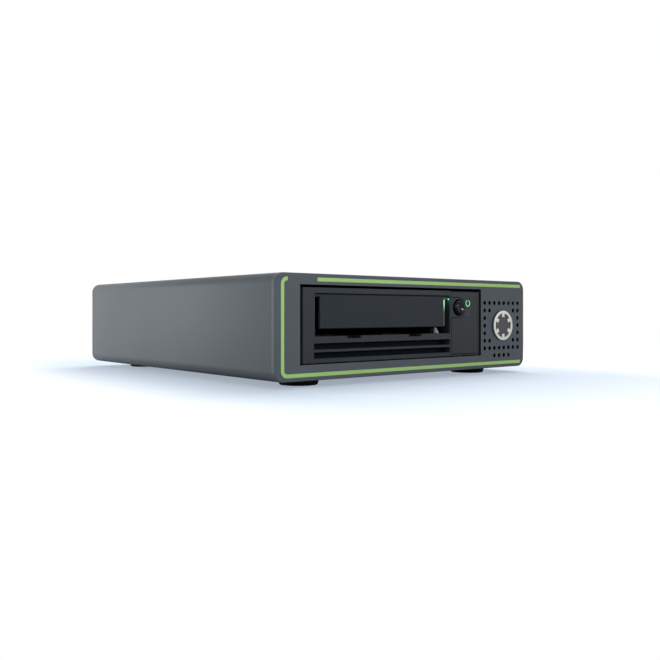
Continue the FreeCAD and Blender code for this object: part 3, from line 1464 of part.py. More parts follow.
def bearing_posts():
    """Fixed posts of the rollers, the loader gears and the threader arm."""
    posts = []
    for x, y in roller_centres():
        height = ROLLER_LIFT + ROLLER_H + POST_RISE
        posts.append(stepped_post(x, y, POST_FOOT_R, ROLLER_LIFT - SLIDE_GAP, POST_R, height))
    for (x, y), top in ((idler_place(), GEAR_LOW_Z), (reducer_place(), GEAR_HIGH_Z)):
        height = top + GEAR_T + GEAR_PIN_RISE
        posts.append(stepped_post(x, y, GEAR_FOOT_R, GEAR_LOW_Z - SLIDE_GAP, GEAR_PIN_R, height))
    x, y = arm_place()
    foot_h = ARM_LIFT - ARM_FOOT_GAP
    posts.append(stepped_post(x, y, ARM_FOOT_R, foot_h, ARM_POST_R, ARM_LIFT + ARM_POST_RISE))
    return Part.Compound(posts)


def head_place():
    return DRIVE_LEFT + HEAD_X, FRONT + HEAD_Y


def head_rods():
    x, y = head_place()
    return [(x + HEAD_ROD_X, y + dy) for dy in HEAD_ROD_Y]


def head_block(span, width, low, high):
    """Block centred on the head, between two distances from it along X and two heights."""
    x, y = head_place()
    start, end = span
    return block(x + start, x + end, y - width / 2, y + width / 2, low, high)


def head_frame():
    """Foot, two guide rods and a bridge that carry the head."""
    low, high = (DECK + z for z in HEAD_BRIDGE_Z)
    foot = head_block(HEAD_FOOT_X, HEAD_FOOT_W, DECK, DECK + HEAD_FOOT_T)
    bridge = head_block(HEAD_BRIDGE_X, HEAD_BRIDGE_W, low, high)
    start = DECK + HEAD_FOOT_T - CUT
    rods = [peg(HEAD_ROD_R, rx, ry, start, HEAD_ROD_L, Z, POST_SIDES) for rx, ry in head_rods()]
    return foot.fuse([bridge] + rods)


def head_carriage():
    """Sliding block with a rounded face and two read and write bars towards the tape."""
    x, y = head_place()
    low, high = (DECK + z for z in HEAD_Z)
    height = high - low
    body = head_block(HEAD_BODY_X, HEAD_BODY_W, low, high)
    nose = head_block((HEAD_BODY_X[1], HEAD_FACE_X + HEAD_FACE_R), HEAD_BODY_W, low, high)
    face = rod(HEAD_FACE_R, x + HEAD_FACE_X, y, low, height).common(nose)
    bars = [peg(HEAD_BAR_R, x + HEAD_BAR_X, y + dy, low + HEAD_BAR_INSET, height - 2 * HEAD_BAR_INSET)
            for dy in HEAD_BAR_Y]
    body = body.fuse([face] + bars)
    return body.cut([rod(HEAD_ROD_R + RUNNING_FIT, rx, ry, low, height) for rx, ry in head_rods()])


def arm_place():
    return DRIVE_LEFT + ARM_X, FRONT + ARM_Y


def threader_arm():
    """Arm that swings the leader pin round the rollers to the take-up reel."""
    half = ARM_W / 2
    near, far = ARM_SLOT_ENDS
    plate = block(0, ARM_LENGTH, -half, half, 0, ARM_T)
    plate = plate.fuse(peg(half, ARM_LENGTH, 0, 0, ARM_T, Z, POST_SIDES))
    plate = plate.cut(block(near, ARM_LENGTH - far, -ARM_SLOT_W / 2, ARM_SLOT_W / 2, 0, ARM_T))
    hub = peg(ARM_HUB_R, 0, 0, -ARM_HUB_DROP, ARM_HUB_T, Z, POST_SIDES)
    pin = peg(ARM_PIN_R, ARM_LENGTH, 0, -ARM_PIN_L, ARM_PIN_L, Z, POST_SIDES)
    claw = peg(ARM_CLAW_R, ARM_LENGTH, 0, -ARM_CLAW_T, ARM_CLAW_T, Z, POST_SIDES)
    arm = plate.fuse([hub, pin, claw]).cut(rod(ARM_POST_R + RUNNING_FIT, 0, 0, -ARM_HUB_DROP, ARM_HUB_T))
    arm.rotate(Vector(0, 0, 0), Z, ARM_REST_ANGLE)
    x, y = arm_place()
    arm.translate(Vector(x, y, DECK + ARM_LIFT))
    return arm


# ---------------------------------------------------------------- boards, ports and power

def drive_board():
    """Drive's circuit board under the deck, with chips and two rear connectors."""
    x0, x1 = DRIVE_LEFT + CASE_WALL + BOARD_GAP, DRIVE_RIGHT - CASE_WALL - BOARD_GAP
    z = DRIVE_BASE + BOARD_Z
    board = block(x0, x1, CASE_FRONT + BOARD_FRONT, DRIVE_REAR - CASE_WALL, z, z + CARD_T)
    parts = []
    for cx, cy, width in CHIPS:
        x, y = DRIVE_LEFT + cx, FRONT + cy
        parts.append(block(x, x + width, y, y + width, z - CHIP_T, z))
    for start in (-PLUG_W / 2, POWER_PLUG_X - PLUG_W / 2):
        x = LEFT + PORT_X + start
        parts.append(block(x, x + PLUG_W, DRIVE_REAR - PLUG_W / 2, DRIVE_REAR, z - PLUG_T, z))
    return board.fuse(parts)


def card_front():
    return SLEEVE_REAR - CARD_GAP - CARD_D


def data_port_cage():
    """Metal cage with two square data ports that show through the rear panel."""
    y1 = REAR + CAGE_PROUD
    y0 = y1 - PORT_D - CAGE_WALL
    half_w, half_h = PORT_W / 2, PORT_H / 2
    body = cage_outline(y0, y1)
    for x, z in port_centres():
        body = body.cut(block(x - half_w, x + half_w, y0 + CAGE_WALL, y1, z - half_h, z + half_h))
        body = body.fuse(block(x - half_w + TONGUE_INSET, x + half_w - TONGUE_INSET, y0, y1 - TONGUE_BACK,
                               z - TONGUE_T / 2, z + TONGUE_T / 2))
    return body


def card_z():
    """Underside of the interface card, which carries the cage."""
    return BASE + PORT_Z - PORT_H / 2 - CAGE_WALL - CARD_T


def interface_board():
    """Interface card under the cage, with the cable's header and a chip."""
    x, y = LEFT + PORT_X, card_front()
    z = card_z()
    board = block(x - CARD_W / 2, x + CARD_W / 2, y, y + CARD_D, z, z + CARD_T)
    y0, y1 = (y + depth for depth in HEADER_Y)
    header = block(x - HEADER_W / 2, x + HEADER_W / 2, y0, y1, z - HEADER_T, z)
    (x0, x1), (y0, y1) = CARD_CHIP_X, CARD_CHIP_Y
    top = z + CARD_T
    return board.fuse([header, block(x + x0, x + x1, y + y0, y + y1, top, top + CARD_CHIP_T)])


def data_cable():
    """Flat cable from the drive's rear connector up to the interface card, with a plug on each end."""
    x = LEFT + PORT_X
    half = CABLE_W / 2
    side = HEADER_W / 2
    low = DRIVE_BASE + CABLE_Z
    mid = low + CABLE_T / 2 + CABLE_BEND
    y_up = card_front() + sum(HEADER_Y) / 2
    y_turn = y_up - CABLE_BEND
    back = DRIVE_REAR + CABLE_PLUG_D
    plug = block(x - side, x + side, DRIVE_REAR, back, low - CABLE_T / 2, low + CABLE_PLUG_RISE)
    run = block(x - half, x + half, back, y_turn, low, low + CABLE_T)
    outer = rod(CABLE_BEND + CABLE_T / 2, x - half, y_turn, mid, CABLE_W, X)
    bend = outer.cut(rod(CABLE_BEND - CABLE_T / 2, x - half, y_turn, mid, CABLE_W, X))
    bend = bend.common(block(x - half, x + half, y_turn, y_up + CABLE_T, low, mid))
    z_top = card_z() - HEADER_T - CABLE_PLUG_H
    rise = block(x - half, x + half, y_up - CABLE_T / 2, y_up + CABLE_T / 2, mid, z_top)
    y0, y1 = (card_front() + depth for depth in HEADER_Y)
    top_plug = block(x - side, x + side, y0, y1, z_top, z_top + CABLE_PLUG_H)
    return plug.fuse([run, bend, rise, top_plug])


def power_board():
    x0, x1 = power_card_span()
    z = FLOOR + SHEET_T + POWER_CARD_LIFT
    return block(x0, x1, FRONT + POWER_CARD_FRONT, FRONT + POWER_CARD_REAR, z, z + CARD_T)


def power_card_top():
    return FLOOR + SHEET_T + POWER_CARD_LIFT + CARD_T


def transformer():
    """Ferrite transformer: winding inside a square core."""
    x0, x1 = power_card_span()
    x, y, z = (x0 + x1) / 2 - TRANSFORMER_SHIFT, FRONT + TRANSFORMER_Y, power_card_top()
    half_w, half_d = CORE_W / 2, CORE_D / 2
    low, high = z + CORE_YOKE, z + CORE_H - CORE_YOKE
    winding = peg(WINDING_R, x, y, low, high - low, Z, CAN_SIDES)
    core = block(x - half_w, x + half_w, y - half_d, y + half_d, z, z + CORE_H)
    core = core.cut(block(x - half_w + CORE_LIMB, x + half_w - CORE_LIMB, y - half_d, y + half_d, low, high))
    return core.fuse(winding)


def capacitors():
    """Capacitors on the power board, each given by its place, radius and height."""
    x0 = power_card_span()[0]
    z = power_card_top()
    cans = [peg(radius, x0 + x, FRONT + y, z, height, Z, CAN_SIDES) for x, y, radius, height in CANS]
    return Part.Compound(cans)


def heat_sinks():
    """Two finned aluminium heat sinks on the power board."""
    x1 = power_card_span()[1]
    z = power_card_top()
    step = (SINK_L - SINK_FIN_T) / (SINK_FINS - 1)
    sinks = []
    for place in SINKS_Y:
        y = FRONT + place
        root = x1 - SINK_FIN_D
        back = block(root - SINK_BACK, root, y, y + SINK_L, z, z + SINK_H)
        starts = [y + index * step for index in range(SINK_FINS)]
        fins = [block(root, x1, start, start + SINK_FIN_T, z, z + SINK_H) for start in starts]
        sinks.append(back.fuse(fins))
    return Part.Compound(sinks)


def socket_cavity(y0, y1, margin=0.0):
    """Six-sided opening of the mains inlet: a rectangle with its two upper corners cut off."""
    x, z = inlet_place()
    w, h, c = SOCKET_W / 2 + margin, SOCKET_H / 2 + margin, SOCKET_CORNER
    outline = [(x - w, y0, z - h), (x + w, y0, z - h), (x + w, y0, z + h - c), (x + w - c, y0, z + h),
               (x - w + c, y0, z + h), (x - w, y0, z + h - c)]
    return prism(outline, Y * (y1 - y0))


def pin_places():
    """Centre of each inlet pin: two line pins below and the earth pin above, in the middle."""
    x, z = inlet_place()
    low, high = z - PIN_SHIFT_Z, z + PIN_SHIFT_Z
    return [(x - PIN_SPACING, low), (x, high), (x + PIN_SPACING, low)]


def inlet_body_end():
    return REAR - INLET_BODY_D


def inlet_pin_block(x, z, y0, y1):
    return block(x - PIN_W / 2, x + PIN_W / 2, y0, y1, z - PIN_H / 2, z + PIN_H / 2)


def power_inlet():
    """Snap-in mains inlet: flange outside the panel, body with the socket inside."""
    x, z = inlet_place()
    y_out = REAR + INLET_FLANGE_T
    flange = rounded_plate(x - INLET_FLANGE_W / 2, x + INLET_FLANGE_W / 2, z - INLET_FLANGE_H / 2,
                           z + INLET_FLANGE_H / 2, INLET_CORNER_R, REAR, y_out)
    y0 = inlet_body_end()
    body = flange.fuse(block(x - INLET_W / 2, x + INLET_W / 2, y0, REAR, z - INLET_H / 2, z + INLET_H / 2))
    body = body.cut(socket_cavity(y_out - SOCKET_D, y_out))
    return body.cut([inlet_pin_block(px, pz, y0, y_out) for px, pz in pin_places()])


def inlet_pins():
    """Three flat pins through the back of the inlet, with tails for the leads."""
    y0 = inlet_body_end() - PIN_TAIL
    y1 = REAR + INLET_FLANGE_T - SOCKET_D + PIN_LENGTH
    return Part.Compound([inlet_pin_block(x, z, y0, y1) for x, z in pin_places()])


def rocker_pivot():
    x, z = switch_place()
    return x, REAR - ROCKER_DEPTH, z


def switch_housing():
    """Rocker switch housing with a clear pocket for the rocker."""
    x, z = switch_place()
    y_out = REAR + SWITCH_FLANGE_T
    half_w, half_h = SWITCH_W / 2, SWITCH_H / 2
    body = block(x - half_w, x + half_w, REAR, y_out, z - half_h, z + half_h)
    body = body.makeChamfer(SWITCH_CHAMFER, front_edges(body, y_out))
    in_w, in_h = half_w - SWITCH_MARGIN, half_h - SWITCH_MARGIN
    body = body.fuse(block(x - in_w, x + in_w, REAR - SWITCH_BODY_D, REAR, z - in_h, z + in_h))
    pocket_w = ROCKER_W / 2 + ROCKER_GAP
    pocket_h = ROCKER_H / 2 + 2 * ROCKER_GAP
    bottom = REAR - SWITCH_POCKET_D
    body = body.cut(block(x - pocket_w, x + pocket_w, bottom, y_out, z - pocket_h, z + pocket_h))
    px, py, pz = rocker_pivot()
    return body.cut(rod(TRUNNION_R + RUNNING_FIT, px - pocket_w - CUT, py, pz, 2 * (pocket_w + CUT), X))


def switch_rocker():
    """Rocker with a shallow V face, tilted to its on side, on two trunnions."""
    x, y, z = rocker_pivot()
    half, back = ROCKER_H / 2, ROCKER_BACK_H / 2
    profile = [(ROCKER_BACK, -back), (ROCKER_BACK, back), (ROCKER_SHOULDER, half), (ROCKER_CREST, half),
               (ROCKER_VALLEY, 0), (ROCKER_CREST, -half), (ROCKER_SHOULDER, -half)]
    outline = [(x - ROCKER_W / 2, y + out, z + up) for out, up in profile]
    body = prism(outline, X * ROCKER_W)
    reach = ROCKER_W / 2 + ROCKER_GAP + TRUNNION_REACH
    body = body.fuse(peg(TRUNNION_R, x - reach, y, z, 2 * reach, X, POST_SIDES))
    body.rotate(Vector(x, y, z), X, ROCKER_TILT)
    return body


def board_plug(x, y0):
    """Plug on the power board, centred on x and reaching back from y0."""
    half = LEAD_PLUG_W / 2
    z = power_card_top()
    return block(x - half, x + half, y0, y0 + LEAD_PLUG_D, z, z + LEAD_PLUG_H)


def lead_height():
    return power_card_top() + LEAD_PLUG_H / 2


def mains_lead():
    """Plug on the inlet's tails, and the thick lead from it down to the power board."""
    x, z = inlet_place()
    back = inlet_body_end() - PIN_TAIL
    y0 = back - PIN_TAIL
    half_w, half_h = INLET_PLUG_W / 2, INLET_PLUG_H / 2
    plug = block(x - half_w, x + half_w, y0, back, z - half_h, z + half_h)
    rear = FRONT + POWER_CARD_REAR
    end = rear - MAINS_LEAD_END
    mid = lead_height()
    path = [(x, y0, z), (x, y0 - LEAD_STUB, z), (x, end + LEAD_STUB, mid), (x, end, mid)]
    return [plug, routed_tube(MAINS_LEAD_R, path), board_plug(x, end - LEAD_PLUG_D)]


def drive_lead():
    """Plug on the drive's power connector, and the lead from it to the power board."""
    x = LEFT + PORT_X + POWER_PLUG_X
    low = DRIVE_BASE + DRIVE_LEAD_Z
    side = HEADER_W / 2
    back = DRIVE_REAR + LEAD_PLUG_D
    plug = block(x - side, x + side, DRIVE_REAR, back, low - DRIVE_LEAD_R, low + 2 * DRIVE_LEAD_R)
    px = power_card_span()[0] + LEAD_PLUG_X
    turn = back + DRIVE_LEAD_TURN
    end = DRIVE_REAR - LEAD_STUB
    path = [(x, back, low), (x, turn, low), (px, turn, lead_height()), (px, end, lead_height())]
    return [plug, routed_tube(DRIVE_LEAD_R, path), board_plug(px, end - LEAD_PLUG_D)]


def fan_lead():
    """Thin lead from the back of the fan to the front of the power board."""
    x, start = GRILLE_X - FAN_LEAD_X, fan_front() + FAN_T
    px, end = power_card_span()[0] + LEAD_PLUG_X, FRONT + POWER_CARD_FRONT + CUT
    mid = lead_height()
    path = [(x, start, mid), (x, start + FAN_LEAD_TURN, mid), (px, end - FAN_LEAD_TURN, mid), (px, end, mid)]
    return [routed_tube(FAN_LEAD_R, path), board_plug(px, end)]


def power_leads():
    return Part.Compound(mains_lead() + drive_lead() + fan_lead())


# ---------------------------------------------------------------- all nodes

NODES = {
    "enclosure_sleeve": enclosure_sleeve,
    "front_panel": front_panel,
    "accent_stripe": lambda: stripe_band(FRONT, FRONT + STRIPE_DEPTH),
    "badge_disc": badge_disc,
    "badge_ring": badge_ring,
    "rear_panel": rear_panel,
    "rear_panel_screws": rear_panel_screws,
    "underside_screws": underside_screws,
    "rubber_feet": rubber_feet,
    "inner_chassis": inner_chassis,
    "drive_brackets": drive_brackets,
    "fan_bracket": fan_bracket,
    "fan_frame": fan_frame,
    "fan_rotor": fan_rotor,
    "fan_screws": fan_screws,
    "drive_base": drive_base,
    "drive_top_cover": drive_top_cover,
    "drive_screws": drive_screws,
    "drive_bezel": drive_bezel,
    "control_cover": control_cover,
    "status_lamp": status_lamp,
    "fault_lamp": fault_lamp,
    "bay_lamp": bay_lamp,
    "eject_button": eject_button,
    "button_dome": button_dome,
    "lamp_board": lamp_board,
    "cartridge_door": cartridge_door,
    "door_pin": door_pin,
    "guide_spring": guide_spring,
    "loader_sled": loader_sled,
    "cartridge_tray": cartridge_tray,
    "idler_gear": idler_gear,
    "reduction_gear": reduction_gear,
    "loader_pinion": loader_pinion,
    "loader_motor": loader_motor,
    "spindle_motor": spindle_motor,
    "spindle_hub": spindle_hub,
    "takeup_motor": takeup_motor,
    "takeup_reel": takeup_reel,
    "bearing_posts": bearing_posts,
    "head_frame": head_frame,
    "head_carriage": head_carriage,
    "threader_arm": threader_arm,
    "drive_board": drive_board,
    "data_port_cage": data_port_cage,
    "interface_board": interface_board,
    "data_cable": data_cable,
    "power_board": power_board,
    "transformer": transformer,
    "capacitors": capacitors,
    "heat_sinks": heat_sinks,
    "power_inlet": power_inlet,
    "inlet_pins": inlet_pins,
    "switch_housing": switch_housing,
    "switch_rocker": switch_rocker,
    "power_leads": power_leads,
}
for number in range(len(ROLLER_PLACES)):
    NODES[f"guide_roller_{number + 1}"] = lambda number=number: guide_roller(number)

os.makedirs("parts", exist_ok=True)
for name, make in NODES.items():
    make().exportStep(f"parts/{name}.step")
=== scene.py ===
import math

import bmesh
import bpy
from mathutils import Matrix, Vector


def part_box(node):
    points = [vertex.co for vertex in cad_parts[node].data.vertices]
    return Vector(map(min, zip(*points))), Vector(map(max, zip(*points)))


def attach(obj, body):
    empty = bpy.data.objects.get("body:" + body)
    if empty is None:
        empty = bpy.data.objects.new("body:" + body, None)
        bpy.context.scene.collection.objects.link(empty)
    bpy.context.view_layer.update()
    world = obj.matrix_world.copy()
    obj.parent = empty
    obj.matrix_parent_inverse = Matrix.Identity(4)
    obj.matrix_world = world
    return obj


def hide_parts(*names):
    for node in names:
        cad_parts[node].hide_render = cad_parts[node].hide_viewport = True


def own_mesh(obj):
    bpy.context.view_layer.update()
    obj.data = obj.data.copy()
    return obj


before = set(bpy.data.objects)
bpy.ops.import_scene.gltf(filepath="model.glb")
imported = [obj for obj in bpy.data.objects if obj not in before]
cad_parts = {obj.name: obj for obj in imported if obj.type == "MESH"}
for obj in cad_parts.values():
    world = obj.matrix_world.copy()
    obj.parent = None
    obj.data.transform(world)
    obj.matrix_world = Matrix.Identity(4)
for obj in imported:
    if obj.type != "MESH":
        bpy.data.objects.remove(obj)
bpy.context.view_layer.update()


# ---- Camera
# A camera stands low in front of the drive's front left corner and looks level across the floor.
# Small shifts set the drive in the middle of the view.
view = bpy.data.cameras.new("camera")
view.sensor_width = 36
view.lens = 41.74
view.shift_x = 0.0024
view.shift_y = -0.0290
view.clip_start = 0.01
camera = bpy.data.objects.new("camera", view)
camera.location = (-0.3364, -0.4454, 0.0411)
camera.rotation_euler = (math.radians(90.1), 0, math.radians(-39.35))
bpy.context.collection.objects.link(camera)
bpy.context.scene.camera = camera
bpy.context.scene.view_settings.view_transform = "Standard"


# ---- Light
# The studio is white wherever it is seen or mirrored, and lights the drive only dimly and coolly.
# A broad lamp above does most of the work, and three small ones at the rear left, the front left and
# the front right give the case its soft gradations.
world = bpy.data.worlds.new("studio")
world.use_nodes = True
bpy.context.scene.world = world
sky = world.node_tree
dim = sky.nodes["Background"]
dim.inputs["Color"].default_value = (0.9, 0.95, 1, 1)
dim.inputs["Strength"].default_value = 0.2
white = sky.nodes.new("ShaderNodeBackground")
white.inputs["Color"].default_value = (1, 1, 1, 1)
rays = sky.nodes.new("ShaderNodeLightPath")
seen = sky.nodes.new("ShaderNodeMath")
mirrored = sky.nodes.new("ShaderNodeMath")
seen.operation = mirrored.operation = "MAXIMUM"
either = sky.nodes.new("ShaderNodeMixShader")
link = sky.links.new
link(rays.outputs["Is Camera Ray"], seen.inputs[0])
link(rays.outputs["Is Transmission Ray"], seen.inputs[1])
link(seen.outputs[0], mirrored.inputs[0])
link(rays.outputs["Is Glossy Ray"], mirrored.inputs[1])
link(mirrored.outputs[0], either.inputs[0])
link(dim.outputs[0], either.inputs[1])
link(white.outputs[0], either.inputs[2])
link(either.outputs[0], sky.nodes["World Output"].inputs[0])


def hang_lamp(name, place, size, power, colour):
    """Hangs a square lamp that faces the drive and isn't seen itself."""
    lamp = bpy.data.lights.new(name, "AREA")
    lamp.size = size
    lamp.energy = power
    lamp.color = colour
    stand = bpy.data.objects.new(name, lamp)
    stand.location = place
    stand.rotation_euler = (-Vector(place)).to_track_quat("-Z", "Y").to_euler()
    stand.visible_camera = False
    bpy.context.collection.objects.link(stand)


PLAIN = (0.97, 0.99, 1.0)
COOL = (0.84, 0.94, 1.0)
hang_lamp("above", place=(0.62, 0.36, 1.0), size=1.2, power=17, colour=PLAIN)
hang_lamp("rear_left", place=(-0.46, 0.36, 0.08), size=0.14, power=2.2, colour=PLAIN)
hang_lamp("front_left", place=(-0.25, -0.49, 0.20), size=0.2, power=0.92, colour=COOL)
hang_lamp("catch", place=(0.562, -0.847, 0.136), size=0.06, power=1.0, colour=PLAIN)


# ---- Floor
# A sheet of matt paper under the drive, which keeps its shadow. It shines faintly of its own, cool grey
# beside the drive and paler further off, a painted shadow, and thins out to nothing towards its rim.
class Pattern:
    """A number that varies over a surface. Plain arithmetic on it adds the nodes that work it out."""

    def __init__(self, finish, socket):
        self.finish = finish
        self.socket = socket

    def worked(self, operation, first, second):
        return self.finish.node("ShaderNodeMath", {"operation": operation}, {0: first, 1: second})

    def __add__(self, other):
        return self.worked("ADD", self, other)

    def __sub__(self, other):
        return self.worked("SUBTRACT", self, other)

    def __rsub__(self, other):
        return self.worked("SUBTRACT", other, self)

    def __mul__(self, other):
        return self.worked("MULTIPLY", self, other)

    def __truediv__(self, other):
        return self.worked("DIVIDE", self, other)

    def __pow__(self, other):
        return self.worked("POWER", self, other)

    def __gt__(self, other):
        return self.worked("GREATER_THAN", self, other)

    def __lt__(self, other):
        return self.worked("LESS_THAN", self, other)

    def within(self):
        """The same number, kept between 0 and 1."""
        return self.finish.node("ShaderNodeClamp", inputs={0: self})


class Finish:
    """The finish of a piece: one material, built up node by node."""

    def __init__(self, name):
        self.material = bpy.data.materials.new(name)
        self.material.use_nodes = True
        self.tree = self.material.node_tree
        self.shader = self.tree.nodes["Principled BSDF"]
        self.place = self.node("ShaderNodeTexCoord", output="Object")

    def node(self, kind, settings=None, inputs=None, output=0):
        """Adds a node: its settings first, then the values or patterns of its sockets."""
        made = self.tree.nodes.new(kind)
        for key, value in (settings or {}).items():
            setattr(made, key, value)
        for key, value in (inputs or {}).items():
            self.feed(made.inputs[key], value)
        return Pattern(self, made.outputs[output])

    def feed(self, socket, value):
        """Links a pattern to a socket, or sets the socket to a plain value."""
        if isinstance(value, Pattern):
            self.tree.links.new(value.socket, socket)
        else:
            socket.default_value = value

    def set(self, **sockets):
        """Sets the shader's sockets, whose names are written with _ for a space."""
        for key, value in sockets.items():
            self.feed(self.shader.inputs[key.replace("_", " ")], value)
        return self

    def vector(self, operation, *values, output="Vector"):
        """Works on one vector or on two."""
        return self.node("ShaderNodeVectorMath", {"operation": operation}, dict(enumerate(values)), output)

    def noise(self, size, detail):
        """Cloudy pattern from 0 to 1 whose patches are about size across, in metres."""
        sockets = {"Vector": self.place, "Scale": 1 / size, "Detail": detail}
        return self.node("ShaderNodeTexNoise", inputs=sockets)

    def brushed(self, size, stretch):
        """Fine streaks: noise squeezed along each axis by the numbers in stretch."""
        squeezed = self.vector("MULTIPLY", self.place, stretch)
        sockets = {"Vector": squeezed, "Scale": 1 / size, "Detail": 3.0}
        return self.node("ShaderNodeTexNoise", inputs=sockets)

    def cells(self, size, metric="EUCLIDEAN"):
        """Distance from the middle of irregular cells about size across, in metres."""
        sockets = {"Vector": self.place, "Scale": 1 / size}
        return self.node("ShaderNodeTexVoronoi", {"distance": metric}, sockets)

    def along(self, axis):
        """Place along X, Y or Z, in metres."""
        return self.node("ShaderNodeSeparateXYZ", inputs={0: self.place}, output=axis)

    def blend(self, factor, dark, pale):
        """Colour between two colours."""
        settings = {"data_type": "RGBA", "clamp_factor": True}
        return self.node("ShaderNodeMix", settings, {0: factor, 6: dark, 7: pale}, 2)

    def raised(self, height, distance, strength):
        """Lets a pattern stand up to a distance proud of the surface."""
        sockets = {"Height": height, "Distance": distance, "Strength": strength}
        return self.set(Normal=self.node("ShaderNodeBump", inputs=sockets))


FLOOR_SIZE = 3
RIM = 0.42
RIM_FADE = 0.2
FOOTPRINT = (0.10, 0.115, 0)
SIDEWAYS = (2.4, 1, 1)
SHADE_REACH = 0.25
BLACK = (0, 0, 0, 1)

bpy.ops.mesh.primitive_plane_add(size=FLOOR_SIZE)
floor = bpy.context.object
floor.name = "studio_floor"
paper = Finish("floor_paper")
reach = paper.vector("LENGTH", paper.place, output="Value")
paper.set(Base_Color=(0.46, 0.485, 0.52, 1.0), Roughness=0.95, Specular_IOR_Level=0.0)
paper.set(Alpha=(RIM - reach) / RIM_FADE)
past = paper.vector("SUBTRACT", paper.vector("ABSOLUTE", paper.place), FOOTPRINT)
past = paper.vector("MAXIMUM", paper.vector("MULTIPLY", past, SIDEWAYS), (0, 0, 0))
away = paper.vector("LENGTH", past, output="Value")
# Painted shadow: the paper's own glow is cool grey near the drive's footprint, reaching less far to the
# sides, and paler away from it.
painted_shadow_fade = (away / SHADE_REACH).within() ** 1.8
light = paper.blend(painted_shadow_fade, (0.33, 0.375, 0.44, 1), (0.85, 0.85, 0.85, 1))
watched = paper.node("ShaderNodeLightPath", output="Is Camera Ray")
paper.set(Emission_Color=paper.blend(watched, BLACK, light), Emission_Strength=1.0)
floor.data.materials.append(paper.material)


# ---- Case sleeve
# An extruded aluminium sleeve with rounded corners, powder coated in a fine-textured dark grey.
# It slides over the chassis and is held by the two end plates.
MM = 0.001
CORNER_R = 6 * MM
WALL = 2 * MM


def block(name, low, high):
    """A box between two corners, as a new piece with its place in its mesh."""
    low, high = Vector(low), Vector(high)
    bpy.ops.mesh.primitive_cube_add(size=1, location=(low + high) / 2)
    piece = bpy.context.object
    piece.name = name
    piece.scale = high - low
    bpy.ops.object.transform_apply(location=True, rotation=True, scale=True)
    return piece


def take(piece):
    """Selects one piece alone and makes it the active one."""
    bpy.ops.object.select_all(action="DESELECT")
    piece.select_set(True)
    bpy.context.view_layer.objects.active = piece


def pick(piece, kind, chosen):
    """Opens a piece for editing with only the edges or faces selected that chosen says yes to."""
    take(piece)
    bpy.ops.object.mode_set(mode="EDIT")
    bpy.ops.mesh.select_mode(type=kind)
    bpy.ops.mesh.select_all(action="DESELECT")
    mesh = bmesh.from_edit_mesh(piece.data)
    for item in mesh.edges if kind == "EDGE" else mesh.faces:
        if chosen(item):
            item.select_set(True)
    bmesh.update_edit_mesh(piece.data)


def put_down():
    """Closes the piece that is being edited."""
    bpy.ops.object.mode_set(mode="OBJECT")


def bevelled(piece, width, segments, chosen, profile=0.5):
    """Rounds the edges that chosen says yes to, or chamfers them with one segment."""
    pick(piece, "EDGE", chosen)
    bpy.ops.mesh.bevel(offset=width, segments=segments, profile=profile, affect="EDGES")
    put_down()
    return piece


def runs_along(edge, axis):
    """Whether an edge runs along X, Y or Z, given as 0, 1 or 2."""
    run = edge.verts[1].co - edge.verts[0].co
    return abs(run[axis]) > 0.999 * run.length


def rounded(name, low, high, radius, segments=10):
    """A box whose four edges along Y are rounded."""
    return bevelled(block(name, low, high), radius, segments, lambda edge: runs_along(edge, 1))


def apply(piece, kind, **settings):
    """Puts a modifier on a piece and applies it."""
    modifier = piece.modifiers.new(kind.lower(), kind)
    for key, value in settings.items():
        setattr(modifier, key, value)
    bpy.context.view_layer.objects.active = piece
    bpy.ops.object.modifier_apply(modifier=modifier.name)


def carve(piece, *tools, operation="DIFFERENCE"):
    """Cuts the tools out of a piece, or adds them to it, and clears them away."""
    for tool in tools:
        apply(piece, "BOOLEAN", operation=operation, object=tool, solver="EXACT")
        bpy.data.objects.remove(tool)
    return piece


def ease(piece, width, segments=2, angle=35, crisp=True):
    """Breaks the sharp edges of a piece, shades its round faces smooth and its flat ones evenly."""
    if width:
        apply(piece, "BEVEL", width=width, segments=segments, limit_method="ANGLE",
              angle_limit=math.radians(angle), use_clamp_overlap=True, miter_outer="MITER_ARC")
    take(piece)
    bpy.ops.object.shade_smooth_by_angle(angle=math.radians(angle))
    if width and crisp:
        apply(piece, "WEIGHTED_NORMAL", mode="FACE_AREA", keep_sharp=True)
    return piece


def seat(piece, finish, body, slot, *nodes):
    """Gives a piece its finish and lets it ride on a body in place of its CAD nodes."""
    piece.data.materials.clear()
    piece.data.materials.append(finish.material)
    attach(piece, body)
    if nodes:
        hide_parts(*nodes)


def shade(red, green, blue):
    """Colour as it shows on a screen, from 0 to 255, turned into light."""
    light = [c / 255 / 12.92 if c <= 10 else ((c / 255 + 0.055) / 1.055) ** 2.4 for c in (red, green, blue)]
    return (*light, 1.0)


def powder_coat():
    """Fine-textured grey powder coating, with painted shade on the walls of the front plate's openings."""
    low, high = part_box("front_panel")
    side, edge, lip, depth = 1.5 * MM, 2.4 * MM, 0.3 * MM, 2.95 * MM
    coat = Finish("powder_coat")
    grain = coat.noise(0.28 * MM, 3)
    clouds = coat.noise(38 * MM, 2)
    specks = coat.noise(0.55 * MM, 2)
    x, y, z = (coat.along(axis) for axis in "XYZ")
    # Painted shade: the walls of the window and the vent holes, behind the front chamfer, are coloured near
    # black.
    painted_shade_walls = (y > low.y + lip) * (y < low.y + depth)
    painted_shade_walls = painted_shade_walls * (x > low.x + side) * (x < high.x - side) * (z > low.z + edge) * (z < high.z - edge)
    coated = coat.blend(clouds * 0.35 + specks * 0.65, shade(82, 86, 90), shade(102, 106, 110))
    coat.set(Base_Color=coat.blend(painted_shade_walls, coated, shade(9, 10, 12)))
    coat.set(Roughness=grain * 0.22 + 0.44, Specular_IOR_Level=0.12)
    return coat.raised(grain, 0.05 * MM, 0.5)


